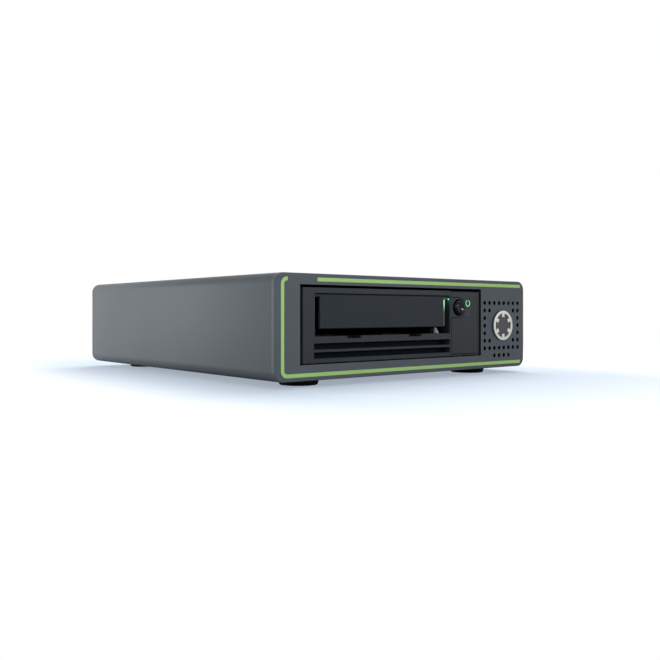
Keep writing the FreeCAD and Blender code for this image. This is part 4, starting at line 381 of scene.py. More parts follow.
coat = powder_coat()
sleeve_low, sleeve_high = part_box("enclosure_sleeve")
sleeve = rounded("case_sleeve", sleeve_low, sleeve_high, CORNER_R, 14)
bore_low = sleeve_low + Vector((WALL, -WALL, WALL))
bore_high = sleeve_high + Vector((-WALL, WALL, -WALL))
carve(sleeve, rounded("bore", bore_low, bore_high, CORNER_R - WALL))
ease(sleeve, 0.15 * MM, crisp=False)
seat(sleeve, coat, "case", "case_finish", "enclosure_sleeve")


# ---- Front plate
# A 3 mm plate with a chamfered rim, a window for the drive, a shallow groove for the stripe and a
# square of vent holes that leaves room for the badge. Two lugs behind it are screwed to the sleeve.
CHAMFER = 0.7 * MM
GAP_SIDE = 1.75 * MM
GAP_TOP = 1.45 * MM
GAP_BOTTOM = 0.5 * MM
HOLE_R = 1.38 * MM
HOLE_PITCH = 5 * MM
HOLE_ROWS = ("########", "##....##", "#......#", "#......#", "#......#", "##....##", "########", "..####..")
BADGE_ROW = 3
STRIPE_W = 2.1 * MM
STRIPE_EDGE = 2.2 * MM
STRIPE_LEFT = 4.1 * MM
STRIPE_R = 4 * MM
STRIPE_END = 4 * MM
STRIPE_SPARE = 20 * MM
STRIPE_BREAK = (8.6 * MM, 28.6 * MM)
STRIPE_DEPTH = 0.5 * MM
LUG_INSETS = (21.5 * MM, 24.2 * MM)
LUG_HALF = 6 * MM
LUG_DEPTH = 9 * MM
LUG_TOP = 4.5 * MM

front_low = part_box("front_panel")[0]
front_y = front_low.y
plate_back = sleeve_low.y
drive_low, drive_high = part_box("drive_bezel")
badge_low, badge_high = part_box("badge_disc")
badge_x = (badge_low.x + badge_high.x) / 2
badge_z = (badge_low.z + badge_high.z) / 2
lug_places = (drive_low.x + LUG_INSETS[0], drive_high.x - LUG_INSETS[1])


def lies_at(depth):
    """Chooses the edges that lie at one depth, which outline a face."""
    return lambda edge: all(abs(vertex.co.y - depth) < 0.001 * MM for vertex in edge.verts)


def post(name, radius, start, end, sides=40):
    """A round bar from one point to another, as a new piece."""
    start, end = Vector(start), Vector(end)
    turn = (end - start).to_track_quat("Z", "Y").to_euler()
    bpy.ops.mesh.primitive_cylinder_add(vertices=sides, radius=radius, depth=(end - start).length,
                                        location=(start + end) / 2, rotation=turn)
    piece = bpy.context.object
    piece.name = name
    bpy.ops.object.transform_apply(location=True, rotation=True, scale=True)
    return piece


def joined(pieces):
    """Several pieces made one."""
    bpy.ops.object.select_all(action="DESELECT")
    for piece in pieces:
        piece.select_set(True)
    bpy.context.view_layer.objects.active = pieces[0]
    bpy.ops.object.join()
    return pieces[0]


def stripe_band(name, y0, y1, grow=0.0):
    """The stripe's open band between two depths, with its outline grown by a hair for the groove."""
    left = front_low.x + STRIPE_LEFT
    low = sleeve_low.z + STRIPE_EDGE
    high = sleeve_high.z - STRIPE_EDGE
    far = sleeve_high.x + STRIPE_SPARE
    inset = STRIPE_W - grow
    band = rounded(name, (left - grow, y0, low - grow), (far, y1, high + grow), STRIPE_R, 8)
    inner = rounded("inner", (left + inset, y0 - WALL, low + inset), (far + WALL, y1 + WALL, high - inset),
                    STRIPE_R - STRIPE_W, 8)
    end = block("end", (sleeve_high.x - STRIPE_END + grow, y0 - WALL, low - WALL),
                (far + WALL, y1 + WALL, high + WALL))
    gap = block("gap", (front_low.x + STRIPE_BREAK[0] + grow, y0 - WALL, high - STRIPE_W - WALL),
                (front_low.x + STRIPE_BREAK[1] - grow, y1 + WALL, high + WALL))
    return carve(band, inner, end, gap)


plate = rounded("front_plate", front_low, (sleeve_high.x, plate_back, sleeve_high.z), CORNER_R, 14)
bevelled(plate, CHAMFER, 3, lies_at(front_y), profile=0.6)
carve(plate, block("window", (drive_low.x - GAP_SIDE, front_y - WALL, drive_low.z - GAP_BOTTOM),
                   (drive_high.x + GAP_SIDE, plate_back + WALL, drive_high.z + GAP_TOP)))
drills = []
for row, marks in enumerate(HOLE_ROWS):
    for column, mark in enumerate(marks):
        if mark == "#":
            x = badge_x + (column - (len(marks) - 1) / 2) * HOLE_PITCH
            z = badge_z + (BADGE_ROW - row) * HOLE_PITCH
            drills.append(post("drill", HOLE_R, (x, front_y - WALL, z), (x, plate_back + WALL, z), 32))
carve(plate, joined(drills))
carve(plate, stripe_band("groove", front_y - WALL, front_y + STRIPE_DEPTH, 0.04 * MM))
for x in lug_places:
    lug = block("lug", (x - LUG_HALF, plate_back - 0.5 * MM, sleeve_low.z + WALL + 0.05 * MM),
                (x + LUG_HALF, plate_back + LUG_DEPTH, sleeve_low.z + WALL + LUG_TOP))
    carve(plate, lug, operation="UNION")
ease(plate, 0.12 * MM, angle=40)
seat(plate, coat, "case", "case_finish", "front_panel")


# ---- Accent stripe
# A flat green strip let into the front plate. It runs round the left side and along the top and
# bottom, ends square near the right edge, and has one break in the top run.
green = Finish("stripe_green")
green_grain = green.noise(0.5 * MM, 2)
green_cloud = green.noise(24 * MM, 2)
green_tone = green_grain * 0.5 + green_cloud * 0.5
green.set(Base_Color=green.blend(green_tone, shade(164, 203, 112), shade(182, 219, 132)))
green.set(Roughness=green_grain * 0.16 + 0.42, Specular_IOR_Level=0.4)
green.raised(green_grain, 0.02 * MM, 0.3)
PROUD = 0.02 * MM
stripe = stripe_band("accent_strip", front_y - PROUD, front_y + STRIPE_DEPTH - PROUD)
ease(stripe, 0.06 * MM)
seat(stripe, green, "case", "stripe_green", "accent_stripe")


# ---- Badge
# A dark enamelled button pressed into the plate, its middle slightly sunk, with a satin metal ring round
# its rim. Six short teeth point inwards from the ring, like the hub of a tape reel.
DISC_SUNK = 0.25 * MM
DISC_LIP = 0.35 * MM
DISC_T = 1.25 * MM
RING_W = 2 * MM
RING_LIP = 0.12 * MM
TEETH = 6
TOOTH_HALF = 1.2 * MM
TOOTH_REACH = (5.6 * MM, 8.6 * MM)


def turned(name, outline, centre, axis, steps=64):
    """Turns an outline of radius and height pairs about an axis through centre, as on a lathe."""
    axis = Vector(axis)
    across = Vector((0, 0, 1)) if axis.x else Vector((1, 0, 0))
    points = [Vector(centre) + across * r + axis * h for r, h in outline]
    bpy.ops.mesh.primitive_plane_add(size=MM, location=(0, 0, 0))
    piece = bpy.context.object
    piece.name = name
    bpy.ops.object.mode_set(mode="EDIT")
    bpy.ops.mesh.select_mode(type="VERT")
    bpy.ops.mesh.select_all(action="SELECT")
    bpy.ops.mesh.merge(type="CENTER")
    bpy.ops.transform.translate(value=points[0])
    for start, end in zip(points, points[1:]):
        bpy.ops.mesh.extrude_region_move(TRANSFORM_OT_translate={"value": end - start})
    bpy.ops.mesh.select_all(action="SELECT")
    bpy.ops.mesh.spin(steps=steps, angle=2 * math.pi, center=centre, axis=axis)
    bpy.ops.mesh.select_all(action="SELECT")
    bpy.ops.mesh.remove_doubles(threshold=0.001 * MM)
    bpy.ops.mesh.normals_make_consistent(inside=False)
    put_down()
    return ease(piece, 0)


def grained(name, size, detail, dark, pale, rough, uneven=0.15, metallic=0.0, height=0.01 * MM, strength=0.3):
    """A finish whose fine even grain tints it, dulls it and stands a hair proud."""
    finish = Finish(name)
    grain = finish.noise(size, detail)
    finish.set(Base_Color=finish.blend(grain, dark, pale))
    finish.set(Metallic=metallic, Roughness=grain * uneven + rough)
    return finish.raised(grain, height, strength)


badge_front = badge_low.y
badge_r = badge_high.x - badge_x
enamel = grained("badge_enamel", 0.3 * MM, 2, shade(34, 37, 41), shade(46, 49, 53), 0.35, height=0.02 * MM)
disc = turned("badge_button", [(0, DISC_SUNK), (badge_r - 2.4 * MM, DISC_SUNK), (badge_r - 2.1 * MM, 0),
                               (badge_r - DISC_LIP, 0), (badge_r - 0.1 * MM, 0.1 * MM), (badge_r, DISC_LIP),
                               (badge_r, DISC_T), (0, DISC_T)],
              (badge_x, badge_front, badge_z), (0, 1, 0), 72)
seat(disc, enamel, "case", "badge_dark", "badge_disc")

satin = grained("badge_satin", 0.12 * MM, 3, shade(206, 202, 194), shade(225, 221, 212), 0.38, metallic=0.35)
ring_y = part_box("badge_ring")[0].y
ring_t = badge_front - ring_y
ring_inner = badge_r - RING_W
ring = turned("badge_rim", [(ring_inner, ring_t), (ring_inner, RING_LIP), (ring_inner + RING_LIP, 0),
                            (badge_r - 0.25 * MM, 0), (badge_r - 0.05 * MM, RING_LIP),
                            (badge_r - 0.02 * MM, ring_t), (ring_inner, ring_t)],
              (badge_x, ring_y, badge_z), (0, 1, 0), 72)
teeth = []
for index in range(TEETH):
    tooth = block("tooth", (badge_x - TOOTH_HALF, ring_y + 0.06 * MM, badge_z + TOOTH_REACH[0]),
                  (badge_x + TOOTH_HALF, badge_front + 0.3 * MM, badge_z + TOOTH_REACH[1]))
    take(tooth)
    bpy.context.scene.cursor.location = (badge_x, ring_y, badge_z)
    bpy.ops.object.origin_set(type="ORIGIN_CURSOR")
    tooth.rotation_euler = (0, index * 2 * math.pi / TEETH, 0)
    bpy.ops.object.transform_apply(location=True, rotation=True, scale=True)
    teeth.append(tooth)
carve(ring, *teeth, operation="UNION")
ease(ring, 0.06 * MM, angle=50)
seat(ring, satin, "case", "badge_pale", "badge_ring")


# ---- Drive bezel
# The moulded front of the half-height drive, in charcoal plastic with a fine spark texture.
# It has the cartridge opening, two long louvres, a seat for the control cover and a D-shaped button land.
SLOT_INSET = 8.2 * MM
SLOT_W = 108.8 * MM
SLOT_Z = 14.6 * MM
SLOT_H = 23.8 * MM
LOUVRE_INSET = 7.6 * MM
LOUVRE_W = 109.5 * MM
LOUVRE_H = 3.55 * MM
LOUVRE_Z = (2.5 * MM, 7.4 * MM)
LOUVRE_DEPTH = 6.5 * MM
LOUVRE_RIB = 1.2 * MM
SLITS = 5
SLIT_H = 1.2 * MM
SLIT_BACK = 0.8 * MM
NOTCH_W = 10.5 * MM
NOTCH_H = 1.4 * MM
NOTCH_DEPTH = 7 * MM
NOTCH_INSETS = (31.4 * MM, 80.5 * MM)
GROOVE = 0.45 * MM
COVER_T = 1.4 * MM
COVER_LIP = 0.8 * MM
SKIN_T = 2.6 * MM
LAND_R = 6.05 * MM
BORE_R = 5.4 * MM
PIPE_T = 0.48 * MM
PIPE_GAP = 0.75 * MM
PIPE_FIT = 0.05 * MM
HAIR = 0.01 * MM
LIGHT_PIPES = ("status_lamp", "fault_lamp")

cover_low, cover_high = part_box("control_cover")
button_low, button_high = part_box("eject_button")
button_x = (button_low.x + button_high.x) / 2
button_z = (button_low.z + button_high.z) / 2
slot_low = Vector((drive_low.x + SLOT_INSET, front_y, drive_low.z + SLOT_Z))
slot_high = slot_low + Vector((SLOT_W, 0, SLOT_H))
ahead, behind = front_y - WALL, drive_high.y + WALL


def moulded(name, dark, pale, rough=0.5, gloss=0.2, painted_recess_shade=None):
    """Moulded plastic with a fine spark texture. Given a depth and a height, it darkens with painted shade
    behind that depth, where recesses lie in shadow: to black above the height and to slate below it."""
    plastic = Finish(name)
    grain = plastic.noise(0.22 * MM, 3)
    clouds = plastic.noise(16 * MM, 2)
    colour = plastic.blend(grain * 0.55 + clouds * 0.45, dark, pale)
    dullness = grain * 0.25 + (rough - 0.12)
    # Painted shade: behind the given depth the colour darkens, black above the height and slate below it.
    if painted_recess_shade:
        start, split = painted_recess_shade
        depth = ((plastic.along("Y") - start) / (6 * MM)).within() ** 0.4
        deep = plastic.blend(plastic.along("Z") > split, shade(20, 28, 38), shade(4, 7, 11))
        colour = plastic.blend(depth, colour, deep)
        dullness = (dullness + depth * 0.5).within()
    plastic.set(Base_Color=colour)
    plastic.set(Roughness=dullness, Specular_IOR_Level=gloss)
    return plastic.raised(grain, 0.04 * MM, 0.4)


def land(name, y0, y1, grow=0.0):
    """The D-shaped land round the eject button, open towards the cover's left edge."""
    radius = LAND_R + grow
    body = post(name, radius, (button_x, y0, button_z), (button_x, y1, button_z), 64)
    straight = block("straight", (cover_low.x - GROOVE - HAIR, y0, button_z - radius),
                     (button_x, y1, button_z + radius))
    return carve(body, straight, operation="UNION")


def horseshoe(name, node, y0, y1, grow=0.0):
    """The horseshoe of a lamp, open at the top, at its CAD node's place."""
    low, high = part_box(node)
    radius = (high.x - low.x) / 2
    x, z = (low.x + high.x) / 2, low.z + radius
    pipe = post(name, radius + grow, (x, y0, z), (x, y1, z), 48)
    core = post("core", radius - PIPE_T - grow, (x, y0 - WALL, z), (x, y1 + WALL, z))
    gap = block("gap", (x - PIPE_GAP, y0 - WALL, z), (x + PIPE_GAP, y1 + WALL, z + 2 * radius))
    return carve(pipe, core, gap)


bezel = block("drive_front", drive_low, drive_high)
bevelled(bezel, 0.4 * MM, 4, lies_at(front_y))
openings = [block("slot", (slot_low.x, ahead, slot_low.z), (slot_high.x, behind, slot_high.z))]
for inset in NOTCH_INSETS:
    openings.append(block("notch", (drive_low.x + inset, ahead, slot_low.z - NOTCH_H),
                          (drive_low.x + inset + NOTCH_W, front_y + NOTCH_DEPTH, slot_low.z + WALL)))
slit_pitch = (LOUVRE_W - LOUVRE_RIB) / SLITS
for height in LOUVRE_Z:
    x, z = drive_low.x + LOUVRE_INSET, drive_low.z + height
    openings.append(block("louvre", (x, ahead, z), (x + LOUVRE_W, front_y + LOUVRE_DEPTH, z + LOUVRE_H)))
    for index in range(SLITS):
        start = x + LOUVRE_RIB + index * slit_pitch
        openings.append(block("slit", (start, front_y + LOUVRE_DEPTH - WALL, z + LOUVRE_H - SLIT_H),
                              (start + slit_pitch - LOUVRE_RIB, drive_high.y - SLIT_BACK, z + LOUVRE_H)))
cover_seat = block("seat", (cover_low.x - GROOVE, ahead, cover_low.z - GROOVE),
                   (cover_high.x + GROOVE, front_y + COVER_T, cover_high.z + GROOVE))
openings.append(carve(cover_seat, land("land", ahead - WALL, front_y + COVER_T + WALL)))
openings.append(post("bore", BORE_R, (button_x, ahead, button_z), (button_x, behind, button_z), 64))
openings.append(block("pocket", (cover_low.x + COVER_LIP, front_y + SKIN_T, cover_low.z + COVER_LIP),
                      (cover_high.x - COVER_LIP, behind, cover_high.z - COVER_LIP)))
for node in LIGHT_PIPES:
    openings.append(horseshoe("pipe", node, ahead, front_y + SKIN_T + MM, PIPE_FIT))
carve(bezel, *openings)
ease(bezel, 0.14 * MM, angle=40)
# The bezel's openings darken inwards with painted shade, black in the cartridge opening and its notches and
# slate in the louvres.
charcoal = moulded("bezel_charcoal", shade(37, 40, 44), shade(49, 52, 57),
                   painted_recess_shade=(front_y + 0.35 * MM, slot_low.z - 2 * MM))
seat(bezel, charcoal, "case", "bezel_plastic", "drive_bezel")


# ---- Control cover
# A thin moulded cover clipped into the bezel over the lamps, cut away in a D round the button.
# A fine dark groove runs all round it, and two horseshoe light pipes come through it.
cover = block("controls_cover", cover_low, cover_high)
bevelled(cover, 0.15 * MM, 3, lies_at(front_y))
carve(cover, land("cut", ahead, front_y + COVER_T + WALL, GROOVE))
for node in LIGHT_PIPES:
    carve(cover, horseshoe("pipe", node, ahead, front_y + COVER_T + WALL, PIPE_FIT))
ease(cover, 0.08 * MM, angle=40)
cover_finish = moulded("cover_charcoal", shade(36, 38, 42), shade(47, 49, 54))
seat(cover, cover_finish, "case", "control_plastic", "control_cover")


# ---- Lamps
# Clear acrylic light pipes from the lamp board to the front. The upper one is lit green, the lower
# one is off, and a tiny green lamp sits high in the right cheek of the cartridge opening.
def mm(*pairs):
    """An outline whose radius and height pairs are given in millimetres."""
    return [(radius * MM, height * MM) for radius, height in pairs]


lit = Finish("pipe_lit")
glow = lit.noise(1.4 * MM, 1)
lit.set(Base_Color=shade(90, 220, 120), Roughness=0.3)
lit.set(Emission_Color=lit.blend(glow, shade(70, 190, 110), shade(165, 240, 185)), Emission_Strength=0.8)
unlit = Finish("pipe_unlit")
haze = unlit.noise(0.6 * MM, 2)
unlit.set(Base_Color=unlit.blend(haze, shade(46, 49, 52), shade(62, 65, 68)), Roughness=0.25)
for name, node, finish, slot in (("busy_light", "status_lamp", lit, "lamp_green"),
                                 ("fault_light", "fault_lamp", unlit, "lamp_dim")):
    pipe = horseshoe(name, node, front_y + 2 * HAIR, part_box(node)[1].y)
    ease(pipe, 0.08 * MM)
    seat(pipe, finish, "case", slot, node)
bay_low, bay_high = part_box("bay_lamp")
bay_middle = (bay_low + bay_high) / 2
bead = turned("bay_light", mm((0, 0), (0.25, 0.05), (0.42, 0.2), (0.48, 0.4), (0.48, 1.6), (0, 1.6)),
              (bay_low.x, bay_middle.y, bay_middle.z), (1, 0, 0), 24)
seat(bead, lit, "case", "lamp_green", "bay_lamp")


# ---- Eject button
# A button in polished black plastic with sloping shoulders and a dished face. A flange keeps it
# behind the bezel and a rubber sleeve on the lamp board pushes it back out.
DISH_R = 3 * MM
DISH_RIM = 0.02 * MM
DISH_DEPTH = 0.32 * MM
DISH_STEPS = 8
BUTTON_R = 4.7 * MM
SHOULDER = 1.9 * MM
FLANGE_T = 0.8 * MM
FLANGE_BACK = 2.9 * MM
STEM_R = 1.5 * MM
PAD_WALL = 0.8 * MM
PAD_FOLD = 0.5 * MM

shares = [step / DISH_STEPS for step in range(DISH_STEPS + 1)]
dish = [(DISH_R * share, DISH_RIM + DISH_DEPTH * (1 - share ** 2)) for share in shares]
rim = mm((3.15, 0), (3.4, 0.04), (3.75, 0.22), (4.1, 0.55), (4.4, 0.98), (4.6, 1.45))
flange_r = (button_high.x - button_low.x) / 2
flange_y = front_y + FLANGE_BACK - button_low.y
button_back = button_high.y - button_low.y
back = [(BUTTON_R, SHOULDER), (BUTTON_R, flange_y), (flange_r, flange_y), (flange_r, flange_y + FLANGE_T),
        (STEM_R, flange_y + FLANGE_T), (STEM_R, button_back), (0, button_back)]
button = turned("eject_cap", dish + rim + back, (button_x, button_low.y, button_z), (0, 1, 0))
gloss = Finish("button_gloss")
smear = gloss.noise(2.5 * MM, 3)
gloss.set(Base_Color=shade(8, 9, 11), Roughness=smear * 0.05 + 0.10, Specular_IOR_Level=0.14)
seat(button, gloss, "button", "button_gloss", "eject_button")

pad_low, pad_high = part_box("button_dome")
pad_r = (pad_high.x - pad_low.x) / 2
pad_t = pad_high.y - pad_low.y
pad_in = pad_r - PAD_WALL
folds = [(pad_in, 0), (pad_r, 0), (pad_r, 0.3), (pad_r - PAD_FOLD, 0.5), (pad_r, 0.7), (pad_r, 1),
         (pad_in, 1), (pad_in, 0.7), (pad_in - 0.4 * MM, 0.5), (pad_in, 0.3), (pad_in, 0)]
pad = turned("button_sleeve", [(radius, share * pad_t) for radius, share in folds],
             (button_x, pad_low.y, button_z), (0, 1, 0), 48)
silicone = moulded("sleeve_rubber", shade(24, 24, 26), shade(34, 34, 36), rough=0.8, gloss=0.15)
seat(pad, silicone, "case", "dome_rubber", "button_dome")
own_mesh(pad)


# ---- Cartridge door
# A thin moulded flap that hangs from a steel pin across the top of the opening and swings inwards.
# Stiffening ribs run down its inner side, and the glint of the bay's green lamp along its right edge is a
# painted glow.
FLAP_T = 1.4 * MM
FLAP_GAPS = (4.3 * MM, 3.6 * MM)
FLAP_CORNER = 1.4 * MM
FLAP_EDGE = 0.5 * MM
BARREL_R = 1.1 * MM
PIN_R = 0.55 * MM
APRON_H = 0.4 * MM
RIB_W = 1.2 * MM
RIB_INSET = 2 * MM
GLINT_W = 1.5 * MM
GLINT_FADE = 0.5 * MM
BEAM_H = 11.6 * MM
BEAM_RISE = 6 * MM
BEAM_END = 9.3 * MM

door_low, door_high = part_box("cartridge_door")
pin_low, pin_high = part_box("door_pin")
axis_y, axis_z = (pin_low.y + pin_high.y) / 2, (pin_low.z + pin_high.z) / 2
flap_left, flap_right = slot_low.x + FLAP_GAPS[0], slot_high.x - FLAP_GAPS[1]
flap_back = door_low.y + FLAP_T


def right_corner(edge):
    """Chooses the flap's lower right corner, which runs front to back."""
    place = edge.verts[0].co
    return runs_along(edge, 1) and place.z < door_low.z + MM and place.x > 0


def front_edge(edge):
    """Chooses the edges of the flap's front face, apart from the top one."""
    ends = [vertex.co for vertex in edge.verts]
    in_front = max(end.y for end in ends) < door_low.y + 0.1 * MM
    return in_front and min(end.z for end in ends) < axis_z - MM


flap = block("door_flap", (flap_left, door_low.y, door_low.z), (flap_right, flap_back, axis_z))
bevelled(flap, FLAP_CORNER, 6, right_corner)
bevelled(flap, FLAP_EDGE, 4, front_edge)
barrel = post("barrel", BARREL_R, (door_low.x, axis_y, axis_z), (door_high.x, axis_y, axis_z), 32)
apron = block("apron", (door_low.x, door_low.y, axis_z - APRON_H), (door_high.x, axis_y, axis_z))
rib_places = (flap_left + RIB_INSET, (flap_left + flap_right - RIB_W) / 2, flap_right - RIB_INSET - RIB_W)
ribs = [block("rib", (x, flap_back - 0.2 * MM, door_low.z + MM), (x + RIB_W, flap_back + MM, axis_z - 2 * MM))
        for x in rib_places]
carve(flap, barrel, apron, *ribs, operation="UNION")
bore = post("bore", PIN_R, (door_low.x - WALL, axis_y, axis_z), (door_high.x + WALL, axis_y, axis_z), 24)
carve(flap, bore)
ease(flap, 0.08 * MM, angle=40)
door_plastic = moulded("door_charcoal", shade(33, 38, 43), shade(44, 49, 55), gloss=0.14)
# Painted glint: a green glow on the flap's rightmost strip, brightest high up, stands in for the bay lamp's
# light on the edge.
painted_glint_strip = ((door_plastic.along("X") - (flap_right - GLINT_W)) / GLINT_FADE).within()
lift = door_plastic.along("Z") - (slot_high.z - BEAM_H)
beam = ((lift / BEAM_RISE).within() ** 2 + 0.07) * ((BEAM_END - lift) / MM).within()
door_plastic.set(Emission_Color=door_plastic.blend(painted_glint_strip * beam, BLACK, shade(190, 250, 210)))
door_plastic.set(Emission_Strength=1.0)
seat(flap, door_plastic, "door", "door_plastic", "cartridge_door")
shine = bpy.data.lights.new("bay_shine", "POINT")
shine.energy = 0.0003
shine.color = (0.15, 1.0, 0.4)
shine.shadow_soft_size = 0.5 * MM
bulb = bpy.data.objects.new("bay_shine", shine)
bulb.location = (slot_high.x - 1.6 * MM, front_y + 0.9 * MM, slot_high.z - 3.1 * MM)
bpy.context.collection.objects.link(bulb)


# ---- Guide leaf
# A small leaf of bright spring steel on the floor of the opening that steers the cartridge to the left.
# Its right side slopes up to a narrow tip, and its foot is clamped under the bezel.
LEAF_SLOPE = 2.6 * MM


def upper_right(edge):
    """Chooses the leaf's upper right edge, which runs front to back."""
    place = edge.verts[0].co
    return runs_along(edge, 1) and place.x > leaf_low.x + MM and place.z > leaf_low.z + MM


leaf_low, leaf_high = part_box("guide_spring")
leaf = block("guide_leaf", leaf_low, leaf_high)
pick(leaf, "EDGE", upper_right)
bpy.ops.transform.translate(value=(-LEAF_SLOPE, 0, 0))
put_down()
ease(leaf, 0.2 * MM, 3)
spring_steel = Finish("spring_steel")
streaks = spring_steel.brushed(0.3 * MM, (1, 1, 0.1))
# Painted highlight and shade: the leaf is dark at its left and pale towards its sloping right side, with real
# brushing streaks over it.
side = ((spring_steel.along("X") - leaf_low.x) / (3 * MM)).within()
painted_highlight_and_streaks = side * 0.7 + streaks * 0.3
spring_steel.set(Base_Color=spring_steel.blend(painted_highlight_and_streaks, shade(34, 40, 42), shade(150, 158, 160)))
spring_steel.set(Metallic=0.8, Roughness=streaks * 0.2 + 0.45)
spring_steel.raised(streaks, 0.01 * MM, 0.3)
seat(leaf, spring_steel, "case", "spring_steel", "guide_spring")


# ---- Screws
# Black-zinc machine screws with cross recesses. Pan heads hold the rear plate and the feet, and
# countersunk ones hold the front plate's lugs and the chassis from below.
PAN_T = 1.6 * MM
RECESS_T = 0.32 * MM
RECESS_D = 0.9 * MM
RECESS_TAPER = 0.45
CHANNEL = 4.5 * MM
FOOT_X, FOOT_Y = 72.8 * MM, 97 * MM
FOOT_RECESS = 1.8 * MM
LUG_SCREW = 5 * MM
CHASSIS_INSET = 12 * MM
CHASSIS_Y = 60 * MM
SINK_R = 2.8 * MM
SINK_D = 1.65 * MM
SHANK_R = 1.3 * MM


def copied(piece, name, place, turn=(0, 0, 0)):
    """A copy of a piece that stands at the origin, turned and moved to its place."""
    take(piece)
    bpy.ops.object.duplicate(linked=False)
    copy = bpy.context.object
    copy.name = name
    copy.location = place
    copy.rotation_euler = turn
    bpy.ops.object.transform_apply(location=True, rotation=True, scale=True)
    return copy


def screw(name, outline, recess_r, top):
    """A screw that stands on the origin, head up, with a cross recess in its head."""
    piece = turned(name, outline, (0, 0, 0), (0, 0, 1), 32)
    bottom = top - RECESS_D
    for wide, deep in ((recess_r, RECESS_T), (RECESS_T, recess_r)):
        cross = block("cross", (-wide, -deep, bottom), (wide, deep, top + MM))
        pick(cross, "FACE", lambda face: face.normal.z < -0.5)
        bpy.ops.transform.resize(value=(RECESS_TAPER, RECESS_TAPER, 1), center_override=(0, 0, bottom))
        put_down()
        carve(piece, cross)
    return ease(piece, 0)


pan_outline = mm((0, 1.6), (1.1, 1.55), (1.9, 1.3), (2.4, 0.85), (2.6, 0.3), (2.6, 0), (1.25, 0), (1.25, -3),
                 (0, -3))
pan_head = screw("pan_head", pan_outline, 1.45 * MM, PAN_T)
sunk_outline = mm((0, 0), (2.5, 0), (2.65, -0.15), (1.25, -1.5), (1.25, -4), (0, -4))
sunk_head = screw("sunk_head", sunk_outline, 1.4 * MM, 0)
black_zinc = grained("black_zinc", 0.25 * MM, 2, shade(34, 35, 37), shade(60, 61, 63), 0.3, uneven=0.2,
                     metallic=0.8, strength=0.4)

rear_low, rear_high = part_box("rear_panel")
corners = [(x, z) for x in (rear_low.x + CHANNEL, rear_high.x - CHANNEL)
           for z in (rear_low.z + CHANNEL, rear_high.z - CHANNEL)]
held = [copied(pan_head, "rear_screw", (x, rear_high.y, z), (math.radians(-90), 0, 0)) for x, z in corners]
seat(joined(held), black_zinc, "case", "screw_black", "rear_panel_screws")

foot_places = [(x, y) for x in (-FOOT_X, FOOT_X) for y in (-FOOT_Y, FOOT_Y)]
sunk_places = [(x, plate_back + LUG_SCREW) for x in lug_places]
sunk_places += [(x, y) for x in (drive_low.x + CHASSIS_INSET, drive_high.x - CHASSIS_INSET)
                for y in (-CHASSIS_Y, CHASSIS_Y)]
underside = sleeve_low.z
held = [copied(pan_head, "under_screw", (x, y, FOOT_RECESS), (math.pi, 0, 0)) for x, y in foot_places]
held += [copied(sunk_head, "under_screw", (x, y, underside), (math.pi, 0, 0)) for x, y in sunk_places]
seat(joined(held), black_zinc, "case", "screw_black", "underside_screws")
for spare in (pan_head, sunk_head):
    bpy.data.objects.remove(spare)
sinks = []
holes = []
for x, y in sunk_places:
    bpy.ops.mesh.primitive_cone_add(vertices=32, radius1=SINK_R, radius2=SHANK_R, depth=SINK_D,
                                    location=(x, y, underside + SINK_D / 2 - 0.05 * MM))
    sinks.append(bpy.context.object)
    holes.append(post("hole", SHANK_R, (x, y, underside), (x, y, underside + 2 * WALL), 32))
carve(sleeve, joined(sinks), joined(holes))
ease(sleeve, 0)


# ---- Rubber feet
# Four moulded rubber feet, tapered towards the floor, with three grip rings round a recess for the
# screw that holds each to the sleeve.
foot = turned("foot", mm((1.3, 1.8), (4.5, 1.8), (4.5, 0.25), (4.75, 0), (6.2, 0), (6.5, 0.4), (7.1, 0.4),
                         (7.4, 0), (8.7, 0), (9.0, 0.4), (9.5, 0.4), (9.8, 0), (10.6, 0), (11.05, 0.4),
                         (11.85, 3.7), (11.95, 4), (1.3, 4), (1.3, 1.8)), (0, 0, 0), (0, 0, 1), 56)
rubber = Finish("foot_rubber")
rubber_grain = rubber.noise(0.35 * MM, 3)
dust = rubber.noise(6 * MM, 2)
rubber.set(Base_Color=rubber.blend(dust, shade(19, 19, 21), shade(32, 32, 34)))
rubber.set(Roughness=rubber_grain * 0.15 + 0.72, Specular_IOR_Level=0.25)
rubber.raised(rubber_grain, 0.05 * MM, 0.5)
feet = [copied(foot, "foot", (x, y, 0)) for x, y in foot_places]
bpy.data.objects.remove(foot)
seat(joined(feet), rubber, "case", "foot_rubber", "rubber_feet")


# ---- Rear plate
# A 2 mm powder-coated plate with a chamfered rim, a row of upright vents for the drive's air, and
# cut-outs for the data ports, the mains inlet and the switch.
VENTS = 14
VENT_X = 18 * MM
VENT_Z = 14 * MM
VENT_H = 30 * MM
VENT_R = 1.3 * MM
PORT_FIT = 0.2 * MM
INLET = (81.55 * MM, 21.5 * MM)
INLET_CUT = (13.8 * MM, 10 * MM)
SWITCH = (81.55 * MM, 47.4 * MM)
SWITCH_CUT = (9.7 * MM, 6.7 * MM)


def centred(name, centre, reach, y0, y1):
    """A box between two depths that reaches equally far to both sides of a centre, and up and down."""
    (x, z), (dx, dz) = centre, reach
    return block(name, (x - dx, y0, z - dz), (x + dx, y1, z + dz))


